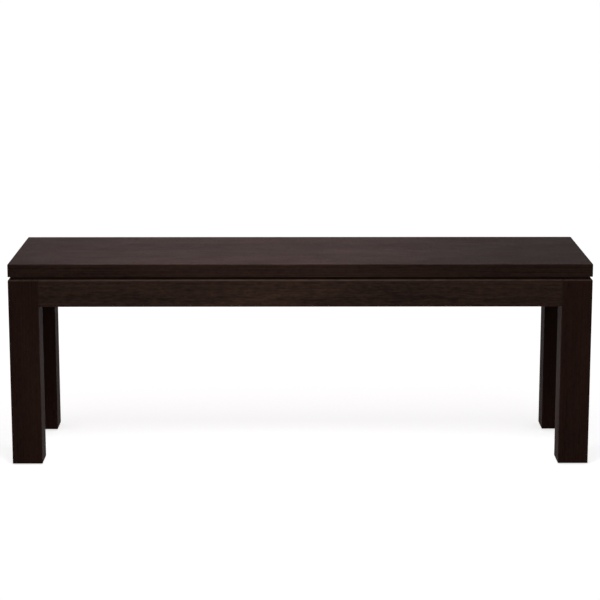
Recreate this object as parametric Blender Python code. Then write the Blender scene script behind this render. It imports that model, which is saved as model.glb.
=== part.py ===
"""A solid timber dining bench with a floating seat, built from its separate pieces.

The seat is edge-glued from boards whose underside is rebated all round, so that it seems to float on a shadow gap
above the frame. The frame is four square legs and four aprons with round-ended tenons. At each corner a block is
hooked into saw kerfs in the two aprons, and a hanger bolt with a washer and a nut draws the leg against it.
Wooden buttons, screws through the corner blocks and a centre rail hold the seat down.

Metres, +Z up. The origin is on the floor under the middle of the seat. The long sides face -Y and +Y.
"""

from math import cos, pi, radians, sin, sqrt, tan, tau

import bmesh
import bpy
from mathutils import Matrix, Vector

MM = 0.001

# Seat
SEAT_LENGTH = 1270 * MM
SEAT_DEPTH = 360 * MM
SEAT_HEIGHT = 450 * MM
SEAT_THICKNESS = 28 * MM
BOARD_NAMES = ("seat_board_front", "seat_board_mid_front", "seat_board_mid_back", "seat_board_back")
GLUE_LINE = 0.3 * MM
SHADOW_GAP = 6 * MM
SHADOW_DEPTH = 10 * MM
SEAT_ARRIS = 1.5 * MM

# Legs
LEG_WIDTH = 66 * MM
LEG_ARRIS = 1.2 * MM
LEG_TOP_ARRIS = 2.4 * MM
LEG_FLAT = 14 * MM

# Aprons and their tenons
APRON_THICKNESS = 22 * MM
APRON_HEIGHT = 60 * MM
APRON_ARRIS = 1.2 * MM
APRON_TOP_ARRIS = 2.4 * MM
TENON_THICKNESS = 10 * MM
TENON_SHOULDER = 10 * MM
TENON_LENGTH = 25 * MM
MORTISE_SPARE = 1 * MM

# Centre rail
RAIL_THICKNESS = 22 * MM
RAIL_SETBACK = 12 * MM
RAIL_ARRIS = 1.2 * MM
RAIL_TENON_THICKNESS = 8 * MM
RAIL_TENON_SHOULDER = 9 * MM
RAIL_TENON_LENGTH = 10 * MM

# Corner blocks
BLOCK_THICKNESS = 20 * MM
BLOCK_SETBACK = 12 * MM
BLOCK_STANDOFF = 4 * MM
TONGUE_SETBACK = 8 * MM
TONGUE_WIDTH = 5 * MM
TONGUE_DEPTH = 7 * MM
KERF_SPARE = 1 * MM
BLOCK_SCREW_OFFSET = 30 * MM

# Hanger bolts, washers and nuts
BOLT_RADIUS = 4 * MM
BOLT_IN_LEG = 38 * MM
BOLT_POINT = 6 * MM
BOLT_PAST_NUT = 5 * MM
BOLT_END_CHAMFER = 0.8 * MM
BOLT_HOLE_SPARE = 2 * MM
WASHER_RADIUS = 12 * MM
WASHER_THICKNESS = 1.6 * MM
NUT_ACROSS_FLATS = 13 * MM
NUT_THICKNESS = 6.5 * MM
NUT_FACE_INSET = 0.3 * MM
NUT_CHAMFER_ANGLE = radians(30)

# Seat buttons
BUTTON_SPACING = 640 * MM
BUTTON_WIDTH = 40 * MM
BUTTON_REACH = 28 * MM
BUTTON_THICKNESS = 18 * MM
BUTTON_TONGUE = 8.4 * MM
BUTTON_TONGUE_REACH = 10 * MM
BUTTON_CLEARANCE = 1 * MM
BUTTON_SLOT_SPARE = 3 * MM

# Screws
SCREW_RADIUS = 2.4 * MM
SCREW_HEAD_RADIUS = 4.6 * MM
SCREW_HEAD_HEIGHT = 2.8 * MM
SCREW_POINT = 5 * MM
SCREW_BITE = 20 * MM
COUNTERBORE_RADIUS = 5.5 * MM
COUNTERBORE_DEPTH = 18 * MM

# Glides under the legs
GLIDE_THICKNESS = 3 * MM
GLIDE_RADIUS = 11 * MM
GLIDE_CHAMFER = 0.8 * MM
NAIL_RADIUS = 1.3 * MM
NAIL_LENGTH = 14 * MM
NAIL_POINT = 3 * MM
NAIL_HEAD_RADIUS = 3.2 * MM
NAIL_HEAD_THICKNESS = 0.8 * MM
NAIL_HEAD_INSET = 0.2 * MM

# The gap left between pieces that touch, and how far a cutter runs past what it cuts
FIT = 0.3 * MM
PAST = 5 * MM

# The distance within which points are merged, and how finely round shapes are divided
MERGE = 0.01 * MM
ARC_STEPS = 8
ROUND_STEPS = 24
ARRIS_STEPS = 2

# Heights that follow from the sizes
FRAME_TOP = SEAT_HEIGHT - SEAT_THICKNESS - SHADOW_GAP
SEAT_UNDERSIDE = FRAME_TOP + FIT
APRON_BOTTOM = FRAME_TOP - APRON_HEIGHT
LEG_HEIGHT = FRAME_TOP - GLIDE_THICKNESS
TENON_HEIGHT = APRON_HEIGHT - 2 * TENON_SHOULDER
RAIL_HEIGHT = APRON_HEIGHT - RAIL_SETBACK
RAIL_TENON_HEIGHT = RAIL_HEIGHT - 2 * RAIL_TENON_SHOULDER
BLOCK_HEIGHT = APRON_HEIGHT - BLOCK_SETBACK

# Corner geometry, as distances from the bench's outer corner along both sides added together
LEG_FLAT_SUM = 2 * LEG_WIDTH - LEG_FLAT
BLOCK_NEAR_SUM = LEG_FLAT_SUM + BLOCK_STANDOFF * sqrt(2)
BLOCK_FAR_SUM = BLOCK_NEAR_SUM + BLOCK_THICKNESS * sqrt(2)
BLOCK_FACE = APRON_THICKNESS + FIT
TONGUE_START = BLOCK_NEAR_SUM - BLOCK_FACE + TONGUE_SETBACK
BLOCK_BOTTOM = FRAME_TOP - BLOCK_HEIGHT
BOLT_HEIGHT = FRAME_TOP - BLOCK_HEIGHT / 2

# Each corner's name, the signs of its X and Y, and its quarter turns from the front left corner
CORNERS = (
    ("front_left", -1, -1, 0),
    ("front_right", 1, -1, 1),
    ("back_right", 1, 1, 2),
    ("back_left", -1, 1, 3),
)


def clear_scene():
    """Removes every object and collection that is in the file."""
    for old in list(bpy.data.objects):
        bpy.data.objects.remove(old)
    for old in list(bpy.data.collections):
        bpy.data.collections.remove(old)


def material(name, colour, roughness, metallic=0.0):
    """A plain finish: linear colour, roughness and metallic value."""
    made = bpy.data.materials.new(name)
    made.use_nodes = True
    shader = made.node_tree.nodes["Principled BSDF"]
    shader.inputs["Base Color"].default_value = (*colour, 1.0)
    shader.inputs["Roughness"].default_value = roughness
    shader.inputs["Metallic"].default_value = metallic
    made.diffuse_color = (*colour, 1.0)
    return made


def empty(name, location, turn=0.0, parent=None):
    """An empty that places a group of pieces."""
    made = bpy.data.objects.new(name, None)
    made.location = location
    made.rotation_euler.z = turn
    made.parent = parent
    bpy.context.scene.collection.objects.link(made)
    return made


def piece(name, bm, finish, location=(0, 0, 0), turn=None, parent=None):
    """Makes an object from a bmesh, shades its round faces smooth and places it under its parent."""
    bmesh.ops.recalc_face_normals(bm, faces=bm.faces)
    mesh = bpy.data.meshes.new(name)
    bm.to_mesh(mesh)
    bm.free()
    made = bpy.data.objects.new(name, mesh)
    bpy.context.scene.collection.objects.link(made)
    if finish:
        mesh.materials.append(finish)
    mesh.shade_smooth()
    mesh.set_sharp_from_angle(angle=radians(35))
    made.location = location
    if turn:
        made.rotation_euler = turn
    made.parent = parent
    return made


def cutter(name, bm, location=(0, 0, 0), turn=None, parent=None):
    """A helper solid for a Boolean, left out of the model itself."""
    made = piece(name, bm, None, location, turn, parent)
    made.hide_render = True
    made.display_type = "WIRE"
    return made


def combine(target, helper, operation="DIFFERENCE"):
    """Adds a helper to the group that one Boolean cuts from the target, or joins on."""
    name = f"{target.name}_{operation.lower()}"
    if name not in bpy.data.collections:
        group = bpy.data.collections.new(name)
        bpy.context.scene.collection.children.link(group)
        boolean = target.modifiers.new(name, "BOOLEAN")
        boolean.operation = operation
        boolean.solver = "EXACT"
        boolean.operand_type = "COLLECTION"
        boolean.collection = group
    bpy.data.collections[name].objects.link(helper)


def eased_edges(target, width):
    """Rounds the edges that carry a bevel weight, each by its weight times the width."""
    bevel = target.modifiers.new("eased_edges", "BEVEL")
    bevel.limit_method = "WEIGHT"
    bevel.width = width
    bevel.segments = ARRIS_STEPS


def box(low, high):
    """A box between two corners."""
    low, high = Vector(low), Vector(high)
    bm = bmesh.new()
    bmesh.ops.create_cube(bm, size=1.0)
    bmesh.ops.scale(bm, vec=high - low, verts=bm.verts)
    bmesh.ops.translate(bm, vec=(low + high) / 2, verts=bm.verts)
    return bm


def weigh_edges(bm, choose):
    """Writes a bevel weight on each edge: choose is given the edge's middle and its direction."""
    layer = bm.edges.layers.float.new("bevel_weight_edge")
    for edge in bm.edges:
        a, b = (vert.co for vert in edge.verts)
        edge[layer] = choose((a + b) / 2, (b - a).normalized())


def prism(outline, height):
    """A flat outline in X and Y, extruded upwards from Z 0."""
    bm = bmesh.new()
    face = bm.faces.new([bm.verts.new((x, y, 0)) for x, y in outline])
    raised = bmesh.ops.extrude_face_region(bm, geom=[face])
    tops = [item for item in raised["geom"] if isinstance(item, bmesh.types.BMVert)]
    bmesh.ops.translate(bm, vec=(0, 0, height), verts=tops)
    return bm


def turned(profile, steps=ROUND_STEPS):
    """A profile of radius and height points, spun about Z into a closed solid."""
    bm = bmesh.new()
    verts = [bm.verts.new((radius, 0, height)) for radius, height in profile]
    chain = [bm.edges.new(pair) for pair in zip(verts, verts[1:])]
    if profile[0][0] > 0:
        chain.append(bm.edges.new((verts[-1], verts[0])))
    bmesh.ops.spin(
        bm,
        geom=verts + chain,
        axis=(0, 0, 1),
        cent=(0, 0, 0),
        angle=tau,
        steps=steps,
        use_merge=True,
    )
    bmesh.ops.remove_doubles(bm, verts=bm.verts, dist=MERGE)
    return bm


def round_ended(thickness, height, length):
    """A tenon's shape along +X: as thick as given in Y, centred on Y and Z, with half-round top and bottom."""
    radius = thickness / 2
    straight = height / 2 - radius
    outline = []
    for end, start in ((1, 0.0), (-1, pi)):
        for step in range(ARC_STEPS + 1):
            angle = start + pi * step / ARC_STEPS
            outline.append((radius * cos(angle), end * straight + radius * sin(angle)))
    bm = prism(outline, length)
    # The outline's X and Y become Y and Z, and the extrusion runs along +X.
    stand = Matrix(((0, 0, 1, 0), (1, 0, 0, 0), (0, 1, 0, 0), (0, 0, 0, 1)))
    bmesh.ops.transform(bm, matrix=stand, verts=bm.verts)
    return bm


def seat_board(index, finish, shadow_cutter, parent):
    """One board of the seat. Only the edges on the outside of the seat are eased, so that glued joints stay tight."""
    width = (SEAT_DEPTH - (len(BOARD_NAMES) - 1) * GLUE_LINE) / len(BOARD_NAMES)
    front = -SEAT_DEPTH / 2 + index * (width + GLUE_LINE)
    thickness = SEAT_HEIGHT - SEAT_UNDERSIDE
    centre = Vector((0, front + width / 2, SEAT_UNDERSIDE))
    bm = box((-SEAT_LENGTH / 2, -width / 2, 0), (SEAT_LENGTH / 2, width / 2, thickness))

    def outside(middle, direction):
        """Weighs the top edges and upright corners that lie on the outside of the whole seat."""
        at_end = abs(middle.x) > SEAT_LENGTH / 2 - PAST
        at_side = abs(centre.y + middle.y) > SEAT_DEPTH / 2 - PAST
        if abs(direction.z) > 0.5:
            return 1.0 if at_side else 0.0
        on_top = middle.z > thickness - PAST
        return 1.0 if on_top and (at_end or at_side) else 0.0

    weigh_edges(bm, outside)
    board = piece(BOARD_NAMES[index], bm, finish, centre, parent=parent)
    eased_edges(board, SEAT_ARRIS)
    combine(board, shadow_cutter)
    return board


def shadow_gap_cutter(parent):
    """The rebate round the seat's underside: a rectangular ring with a square section."""
    bm = bmesh.new()
    low, high = FRAME_TOP - PAST, SEAT_HEIGHT - SEAT_THICKNESS
    rings = []
    for margin, height in ((PAST, low), (PAST, high), (-SHADOW_DEPTH, high), (-SHADOW_DEPTH, low)):
        x, y = SEAT_LENGTH / 2 + margin, SEAT_DEPTH / 2 + margin
        corners = ((-x, -y, height), (x, -y, height), (x, y, height), (-x, y, height))
        rings.append([bm.verts.new(corner) for corner in corners])
    for k in range(4):
        for side in range(4):
            bm.faces.new((rings[k - 1][side - 1], rings[k - 1][side], rings[k][side], rings[k][side - 1]))
    return cutter("shadow_gap_cutter", bm, parent=parent)


def leg(name, finish, corner):
    """One leg, in its corner's frame: +X and +Y run inwards from the bench's outer corner."""
    bm = box((0, 0, 0), (LEG_WIDTH, LEG_WIDTH, LEG_HEIGHT))
    side_weight = LEG_ARRIS / LEG_TOP_ARRIS
    weigh_edges(bm, lambda middle, direction: 1.0 if middle.z > LEG_HEIGHT - PAST else side_weight)
    made = piece("leg_" + name, bm, finish, (0, 0, GLIDE_THICKNESS), parent=corner)
    eased_edges(made, LEG_TOP_ARRIS)

    # A mortise for each apron. The second is the first turned a quarter and mirrored across the leg's diagonal.
    depth = TENON_LENGTH + MORTISE_SPARE
    tenon_height = APRON_BOTTOM + APRON_HEIGHT / 2
    for side, turn in (("long", 0), ("short", pi / 2)):
        start = Vector((LEG_WIDTH - depth, APRON_THICKNESS / 2, tenon_height))
        if side == "short":
            start.x, start.y = start.y, start.x
        shape = round_ended(TENON_THICKNESS + 2 * FIT, TENON_HEIGHT + 2 * FIT, depth + PAST)
        combine(made, cutter(f"mortise_{side}_{name}", shape, start, (0, 0, turn), corner))

    # The flat across the inner corner, only as tall as the aprons, where the hanger bolt goes in.
    past = LEG_WIDTH + PAST
    corner_off = ((past, LEG_FLAT_SUM - past), (past, past), (LEG_FLAT_SUM - past, past))
    flat = prism(corner_off, APRON_HEIGHT + PAST)
    combine(made, cutter("flat_" + name, flat, (0, 0, APRON_BOTTOM), parent=corner))
    return made


def apron(name, length, finish, location, turn, parent, rail=False, buttons=False):
    """One apron with a tenon at each end: +X along it, the outer face on Y 0, the lower edge on Z 0.

    A long apron also takes the centre rail's tenon and the slots for the seat buttons.
    """
    place = dict(location=location, turn=(0, 0, turn), parent=parent)
    body = length / 2 - FIT
    bm = box((-body, 0, 0), (body, APRON_THICKNESS, APRON_HEIGHT))
    low_weight = APRON_ARRIS / APRON_TOP_ARRIS

    def along(middle, direction):
        """Weighs the long edges, the upper outside one in full."""
        if abs(direction.x) < 0.5:
            return 0.0
        return 1.0 if middle.z > APRON_HEIGHT / 2 and middle.y < APRON_THICKNESS / 2 else low_weight

    weigh_edges(bm, along)
    made = piece("apron_" + name, bm, finish, **place)
    eased_edges(made, APRON_TOP_ARRIS)

    # Tenons, rooted in the apron's end so that the union is one body.
    for end in (-1, 1):
        shape = round_ended(TENON_THICKNESS, TENON_HEIGHT, TENON_LENGTH + PAST)
        along_x = Matrix.Translation((body - PAST, APRON_THICKNESS / 2, APRON_HEIGHT / 2))
        bmesh.ops.transform(shape, matrix=along_x, verts=shape.verts)
        if end < 0:
            bmesh.ops.scale(shape, vec=(-1, 1, 1), verts=shape.verts)
        combine(made, cutter(f"tenon_{name}_{end}", shape, **place), "UNION")

    # A saw kerf across the inner face near each end, for the corner block's tongue.
    kerf_start = length / 2 + LEG_WIDTH - TONGUE_START
    deep = APRON_THICKNESS - TONGUE_DEPTH - KERF_SPARE
    for end in (-1, 1):
        first, last = end * (kerf_start + FIT), end * (kerf_start - TONGUE_WIDTH - FIT)
        low = (min(first, last), deep, -PAST)
        high = (max(first, last), APRON_THICKNESS + PAST, APRON_HEIGHT + PAST)
        combine(made, cutter(f"kerf_{name}_{end}", box(low, high), **place))

    if rail:
        depth = RAIL_TENON_LENGTH + MORTISE_SPARE
        shape = round_ended(RAIL_TENON_THICKNESS + 2 * FIT, RAIL_TENON_HEIGHT + 2 * FIT, depth + PAST)
        inwards = Matrix.Rotation(pi / 2, 4, "Z")
        inwards.translation = (0, APRON_THICKNESS - depth, APRON_HEIGHT - RAIL_HEIGHT / 2)
        bmesh.ops.transform(shape, matrix=inwards, verts=shape.verts)
        combine(made, cutter("rail_mortise_" + name, shape, **place))
    if buttons:
        half = BUTTON_WIDTH / 2 + BUTTON_SLOT_SPARE
        bottom = APRON_HEIGHT + FIT - BUTTON_CLEARANCE - BUTTON_THICKNESS - FIT
        for end in (-1, 1):
            x = end * BUTTON_SPACING / 2
            low = (x - half, APRON_THICKNESS - BUTTON_TONGUE_REACH - MORTISE_SPARE, bottom)
            high = (x + half, APRON_THICKNESS + PAST, bottom + BUTTON_TONGUE + 2 * FIT)
            combine(made, cutter(f"button_slot_{name}_{end}", box(low, high), **place))
    return made


def centre_rail(finish, parent):
    """The rail across the middle of the frame, tenoned into both long aprons."""
    half = SEAT_DEPTH / 2 - APRON_THICKNESS - FIT
    low = (-RAIL_THICKNESS / 2, -half, 0)
    bm = box(low, (RAIL_THICKNESS / 2, half, RAIL_HEIGHT))
    weigh_edges(bm, lambda middle, direction: 1.0 if abs(direction.y) > 0.5 else 0.0)
    made = piece("centre_rail", bm, finish, (0, 0, FRAME_TOP - RAIL_HEIGHT), parent=parent)
    eased_edges(made, RAIL_ARRIS)
    for end in (-1, 1):
        shape = round_ended(RAIL_TENON_THICKNESS, RAIL_TENON_HEIGHT, RAIL_TENON_LENGTH + PAST)
        outwards = Matrix.Rotation(end * pi / 2, 4, "Z")
        outwards.translation = (0, end * (half - PAST), FRAME_TOP - RAIL_HEIGHT / 2)
        bmesh.ops.transform(shape, matrix=outwards, verts=shape.verts)
        combine(made, cutter(f"rail_tenon_{end}", shape, parent=parent), "UNION")
    return made


def corner_block(name, finish, corner):
    """The block across a corner, with a tongue in each apron's kerf, in its corner's frame."""
    tip = APRON_THICKNESS - TONGUE_DEPTH
    tongue_end = TONGUE_START + TONGUE_WIDTH
    half = [
        (BLOCK_NEAR_SUM - BLOCK_FACE, BLOCK_FACE),
        (TONGUE_START, BLOCK_FACE),
        (TONGUE_START, tip),
        (tongue_end, tip),
        (tongue_end, BLOCK_FACE),
        (BLOCK_FAR_SUM - BLOCK_FACE, BLOCK_FACE),
    ]
    outline = half + [(y, x) for x, y in reversed(half)]
    return piece(
        "corner_block_" + name, prism(outline, BLOCK_HEIGHT), finish, (0, 0, BLOCK_BOTTOM), parent=corner
    )


def hanger_bolt(name, finish, corner, leg_piece, block_piece):
    """The bolt that is screwed into the leg's flat and runs out through the corner block, with its washer and nut."""
    turn = Vector((1, 1, 0)).to_track_quat("Z", "Y").to_euler()
    middle = LEG_FLAT_SUM / 2
    place = dict(location=(middle, middle, BOLT_HEIGHT), turn=turn, parent=corner)
    washer_start = BLOCK_STANDOFF + BLOCK_THICKNESS + FIT
    nut_start = washer_start + WASHER_THICKNESS + FIT
    end = nut_start + NUT_THICKNESS + BOLT_PAST_NUT

    shank = [
        (0, -BOLT_IN_LEG),
        (BOLT_RADIUS, BOLT_POINT - BOLT_IN_LEG),
        (BOLT_RADIUS, end - BOLT_END_CHAMFER),
        (BOLT_RADIUS - BOLT_END_CHAMFER, end),
        (0, end),
    ]
    piece("hanger_bolt_" + name, turned(shank), finish, **place)
    hole = BOLT_RADIUS + FIT
    bore = turned([(0, -BOLT_IN_LEG - BOLT_HOLE_SPARE), (hole, -BOLT_IN_LEG - BOLT_HOLE_SPARE), (hole, end), (0, end)])
    bore_cutter = cutter("bolt_hole_" + name, bore, **place)
    combine(leg_piece, bore_cutter)
    combine(block_piece, bore_cutter)

    rim = [
        (hole, washer_start),
        (WASHER_RADIUS, washer_start),
        (WASHER_RADIUS, washer_start + WASHER_THICKNESS),
        (hole, washer_start + WASHER_THICKNESS),
    ]
    piece("washer_" + name, turned(rim), finish, **place)
    hex_nut(name, finish, nut_start, place, bore_cutter)


def hex_nut(name, finish, start, place, bore_cutter):
    """A hexagon nut whose corners are turned off at both ends by one double cone."""
    corner_radius = NUT_ACROSS_FLATS / sqrt(3)
    outline = [(corner_radius * cos(tau * k / 6), corner_radius * sin(tau * k / 6)) for k in range(6)]
    bm = prism(outline, NUT_THICKNESS)
    bmesh.ops.translate(bm, vec=(0, 0, start), verts=bm.verts)
    nut = piece("hex_nut_" + name, bm, finish, **place)
    top = start + NUT_THICKNESS
    slope = tan(NUT_CHAMFER_ANGLE)
    face_radius = NUT_ACROSS_FLATS / 2 - NUT_FACE_INSET
    wide = corner_radius + NUT_FACE_INSET
    rise = slope * (wide - face_radius)
    apex = slope * face_radius
    cones = [(0, start - apex), (wide, start + rise), (wide, top - rise), (0, top + apex)]
    combine(nut, cutter("nut_chamfer_" + name, turned(cones), **place), "INTERSECT")
    combine(nut, bore_cutter)


def screw_profile(length, grow=0.0):
    """A countersunk wood screw's outline from the head's face at 0 up to its point, grown all round for its hole."""
    shank = SCREW_RADIUS + grow
    return [
        (0, -grow),
        (SCREW_HEAD_RADIUS + grow, -grow),
        (shank, SCREW_HEAD_HEIGHT),
        (shank, length - SCREW_POINT),
        (0, length + 2 * grow),
    ]


def seat_screw(name, finish, parent, spot, lower_piece, board):
    """A screw up through a lower piece into a seat board, and the hole it makes in both."""
    length = SEAT_UNDERSIDE + SCREW_BITE - spot[2]
    piece(name, turned(screw_profile(length)), finish, spot, parent=parent)
    hole = screw_profile(length, FIT)
    mouth = COUNTERBORE_RADIUS
    hole[0:1] = [(0, -COUNTERBORE_DEPTH - PAST), (mouth, -COUNTERBORE_DEPTH - PAST), (mouth, -FIT)]
    hole_cutter = cutter(name + "_hole", turned(hole), spot, parent=parent)
    combine(lower_piece, hole_cutter)
    combine(board, hole_cutter)


def seat_button(name, sign_x, sign_y, finish, steel, parent, board):
    """A wooden button whose tongue hooks under the apron's slot, with the screw that holds it to the seat."""
    top = SEAT_UNDERSIDE - BUTTON_CLEARANCE
    bottom = top - BUTTON_THICKNESS
    face = SEAT_DEPTH / 2 - APRON_THICKNESS
    profile = [
        (face + BUTTON_TONGUE_REACH, 0),
        (face - FIT - BUTTON_REACH, 0),
        (face - FIT - BUTTON_REACH, BUTTON_THICKNESS),
        (face - FIT, BUTTON_THICKNESS),
        (face - FIT, BUTTON_TONGUE),
        (face + BUTTON_TONGUE_REACH, BUTTON_TONGUE),
    ]
    bm = prism([(sign_y * y, z) for y, z in profile], BUTTON_WIDTH)
    # The profile's X and Y become Y and Z, and the extrusion runs along X.
    lie = Matrix(((0, 0, 1, -BUTTON_WIDTH / 2), (1, 0, 0, 0), (0, 1, 0, 0), (0, 0, 0, 1)))
    bmesh.ops.transform(bm, matrix=lie, verts=bm.verts)
    x = sign_x * BUTTON_SPACING / 2
    button = piece("button_" + name, bm, finish, (x, 0, bottom), parent=parent)
    spot = (x, sign_y * (face - FIT - BUTTON_REACH / 2), bottom + FIT)
    seat_screw("button_screw_" + name, steel, parent, spot, button, board)


def glide(name, nylon, steel, corner, leg_piece):
    """A nylon glide under a leg and the nail that holds it."""
    middle = LEG_WIDTH / 2
    place = dict(location=(middle, middle, 0), parent=corner)
    recess_radius = NAIL_HEAD_RADIUS + FIT
    recess_top = NAIL_HEAD_INSET + NAIL_HEAD_THICKNESS + FIT
    hole = NAIL_RADIUS + FIT
    top = GLIDE_THICKNESS - FIT
    disc = [
        (recess_radius, 0),
        (GLIDE_RADIUS - GLIDE_CHAMFER, 0),
        (GLIDE_RADIUS, GLIDE_CHAMFER),
        (GLIDE_RADIUS, top),
        (hole, top),
        (hole, recess_top),
        (recess_radius, recess_top),
    ]
    piece("glide_" + name, turned(disc), nylon, **place)
    head_top = NAIL_HEAD_INSET + NAIL_HEAD_THICKNESS
    tip = head_top + NAIL_LENGTH
    nail = [
        (0, NAIL_HEAD_INSET),
        (NAIL_HEAD_RADIUS, NAIL_HEAD_INSET),
        (NAIL_HEAD_RADIUS, head_top),
        (NAIL_RADIUS, head_top),
        (NAIL_RADIUS, tip - NAIL_POINT),
        (0, tip),
    ]
    piece("glide_nail_" + name, turned(nail, 12), steel, **place)
    socket = turned([(0, 0), (hole, 0), (hole, tip), (0, tip + FIT)], 12)
    combine(leg_piece, cutter("nail_hole_" + name, socket, **place))


def build():
    """Builds the whole bench."""
    clear_scene()
    seat_finish = material("stained_seat", (0.036, 0.021, 0.017), 0.35)
    frame_finish = material("stained_frame", (0.024, 0.013, 0.010), 0.40)
    block_finish = material("bare_block_wood", (0.16, 0.085, 0.045), 0.70)
    steel = material("zinc_steel", (0.55, 0.54, 0.50), 0.35, 1.0)
    nylon = material("nylon_glide", (0.025, 0.023, 0.022), 0.55)

    bench = empty("bench", (0, 0, 0))
    shadow = shadow_gap_cutter(bench)
    boards = [seat_board(index, seat_finish, shadow, bench) for index in range(len(BOARD_NAMES))]

    long_length = SEAT_LENGTH - 2 * LEG_WIDTH
    short_length = SEAT_DEPTH - 2 * LEG_WIDTH
    x, y = SEAT_LENGTH / 2, SEAT_DEPTH / 2
    for name, sign, turn in (("front", -1, 0), ("back", 1, pi)):
        apron(name, long_length, frame_finish, (0, sign * y, APRON_BOTTOM), turn, bench, True, True)
    for name, sign, turn in (("left", -1, -pi / 2), ("right", 1, pi / 2)):
        apron(name, short_length, frame_finish, (sign * x, 0, APRON_BOTTOM), turn, bench)
    rail = centre_rail(frame_finish, bench)

    # The block's screw stands off the bolt along the block, towards the long apron.
    mid_block = (BLOCK_NEAR_SUM + BLOCK_FAR_SUM) / 4
    along = BLOCK_SCREW_OFFSET / sqrt(2)
    block_screw_base = BLOCK_BOTTOM + COUNTERBORE_DEPTH
    for name, sign_x, sign_y, quarter in CORNERS:
        corner = empty("corner_" + name, (sign_x * x, sign_y * y, 0), quarter * pi / 2, bench)
        leg_piece = leg(name, frame_finish, corner)
        block = corner_block(name, block_finish, corner)
        hanger_bolt(name, steel, corner, leg_piece, block)
        glide(name, nylon, steel, corner, leg_piece)
        board = boards[0 if sign_y < 0 else -1]
        spot = (sign_x * (x - mid_block - along), sign_y * (y - mid_block + along), block_screw_base)
        seat_screw("block_screw_" + name, steel, bench, spot, block, board)
        seat_button(name, sign_x, sign_y, block_finish, steel, bench, board)

    rail_screw_base = FRAME_TOP - RAIL_HEIGHT + COUNTERBORE_DEPTH
    for name, board in (("front", boards[1]), ("back", boards[2])):
        spot = (0, board.location.y, rail_screw_base)
        seat_screw("rail_screw_" + name, steel, bench, spot, rail, board)


build()
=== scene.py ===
"""A dark-stained dining bench with a floating seat.

The frame gives each piece's place and size. Every plain solid in it is replaced by a finished piece: seat
boards, tenoned legs and aprons, hooked corner blocks, seat buttons, threaded fasteners and nailed glides. The
wood's figure is a solid that runs along each piece's own grain, so that boards, legs and end grain differ.
"""

import logging
import math
import random
from collections.abc import Callable, Iterable, Iterator, Sequence
from contextlib import contextmanager
from dataclasses import dataclass, field, replace
from enum import Enum, IntEnum

import bmesh
import bpy
from bpy.types import Material, Node, NodeInputs, NodeOutputs, NodeSocket, NodeTree, Object
from mathutils import Matrix, Vector


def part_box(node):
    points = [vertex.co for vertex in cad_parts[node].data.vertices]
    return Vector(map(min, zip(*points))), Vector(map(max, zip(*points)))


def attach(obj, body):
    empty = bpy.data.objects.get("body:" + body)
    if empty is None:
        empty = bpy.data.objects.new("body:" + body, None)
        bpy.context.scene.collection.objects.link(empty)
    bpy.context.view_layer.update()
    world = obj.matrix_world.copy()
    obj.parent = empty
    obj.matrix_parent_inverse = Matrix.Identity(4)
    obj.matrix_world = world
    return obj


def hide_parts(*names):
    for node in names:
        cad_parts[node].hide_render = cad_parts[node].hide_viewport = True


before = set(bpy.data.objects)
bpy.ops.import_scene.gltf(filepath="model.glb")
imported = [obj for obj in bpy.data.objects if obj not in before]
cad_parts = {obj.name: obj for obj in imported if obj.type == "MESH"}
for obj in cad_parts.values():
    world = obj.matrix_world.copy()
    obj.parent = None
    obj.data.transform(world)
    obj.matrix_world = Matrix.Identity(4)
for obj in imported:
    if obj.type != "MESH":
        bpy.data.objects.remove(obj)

LOG = logging.getLogger("bench")
MM = 0.001
TURN = math.tau
X, Y, Z = (row.copy() for row in Matrix.Identity(3))
STILL = Matrix.Identity(4)
HALF_TURN = Matrix.Rotation(TURN / 2, 4, "Z")
WHITE = (1.0, 1.0, 1.0)

# How near a face or an edge has to lie to a plane to count as on it
NEAR = 0.02 * MM

# How near two points have to be to become one
MERGE = NEAR / 10

# How nearly a direction has to follow an axis to count as along it, as a cosine
STRAIGHT = 0.9

# How far a cutter runs past what it cuts
PAST = 4 * MM

# The gap that the frame leaves between pieces that touch
FRAME_GAP = 0.3 * MM

# What is left of that gap between finished pieces
HAIRLINE = 0.05 * MM

# The sharpest bend, in degrees, that is shaded as round
ROUND_BEND = 35.0

# How much larger than an even share of a rounding one of its facets may be
FACET = 1.6

# The length of the tree that pieces are cut from, in metres
TREE = 40

# The power by which a face loses its end grain as it turns from the piece's ends to its sides
END_FALL = 3

# The sharpness of a thread that is cut for wood
WOOD_THREAD = 1.8

Span = tuple[float, float]
Triple = tuple[float, float, float]
Colour = Triple
Line = Sequence[Sequence[float]]
Test = Callable[[Vector, Vector], bool]
Inputs = dict[str | int, object]


class Cut(Enum):
    """What a Boolean does with its second shape."""

    TAKE_AWAY = "DIFFERENCE"
    KEEP_COMMON = "INTERSECT"


class Part(Enum):
    """What a test picks from a mesh."""

    EDGES = "EDGE"
    FACES = "FACE"


class Side(Enum):
    """The long sides of the bench, by the sign of their Y."""

    FRONT = -1
    BACK = 1


class Hand(Enum):
    """The ends of the bench, by the sign of their X."""

    LEFT = -1
    RIGHT = 1


class Run(IntEnum):
    """The level axis that a piece runs along. Its number picks that axis from a vector."""

    LENGTHWISE = 0
    CROSSWISE = 1

    @property
    def sideways(self) -> int:
        """The number of the other level axis."""
        return 1 - self


class Light(Enum):
    """The kinds of lamp: an even light from far off, or a flat panel near by."""

    EVEN = "SUN"
    PANEL = "AREA"


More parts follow.
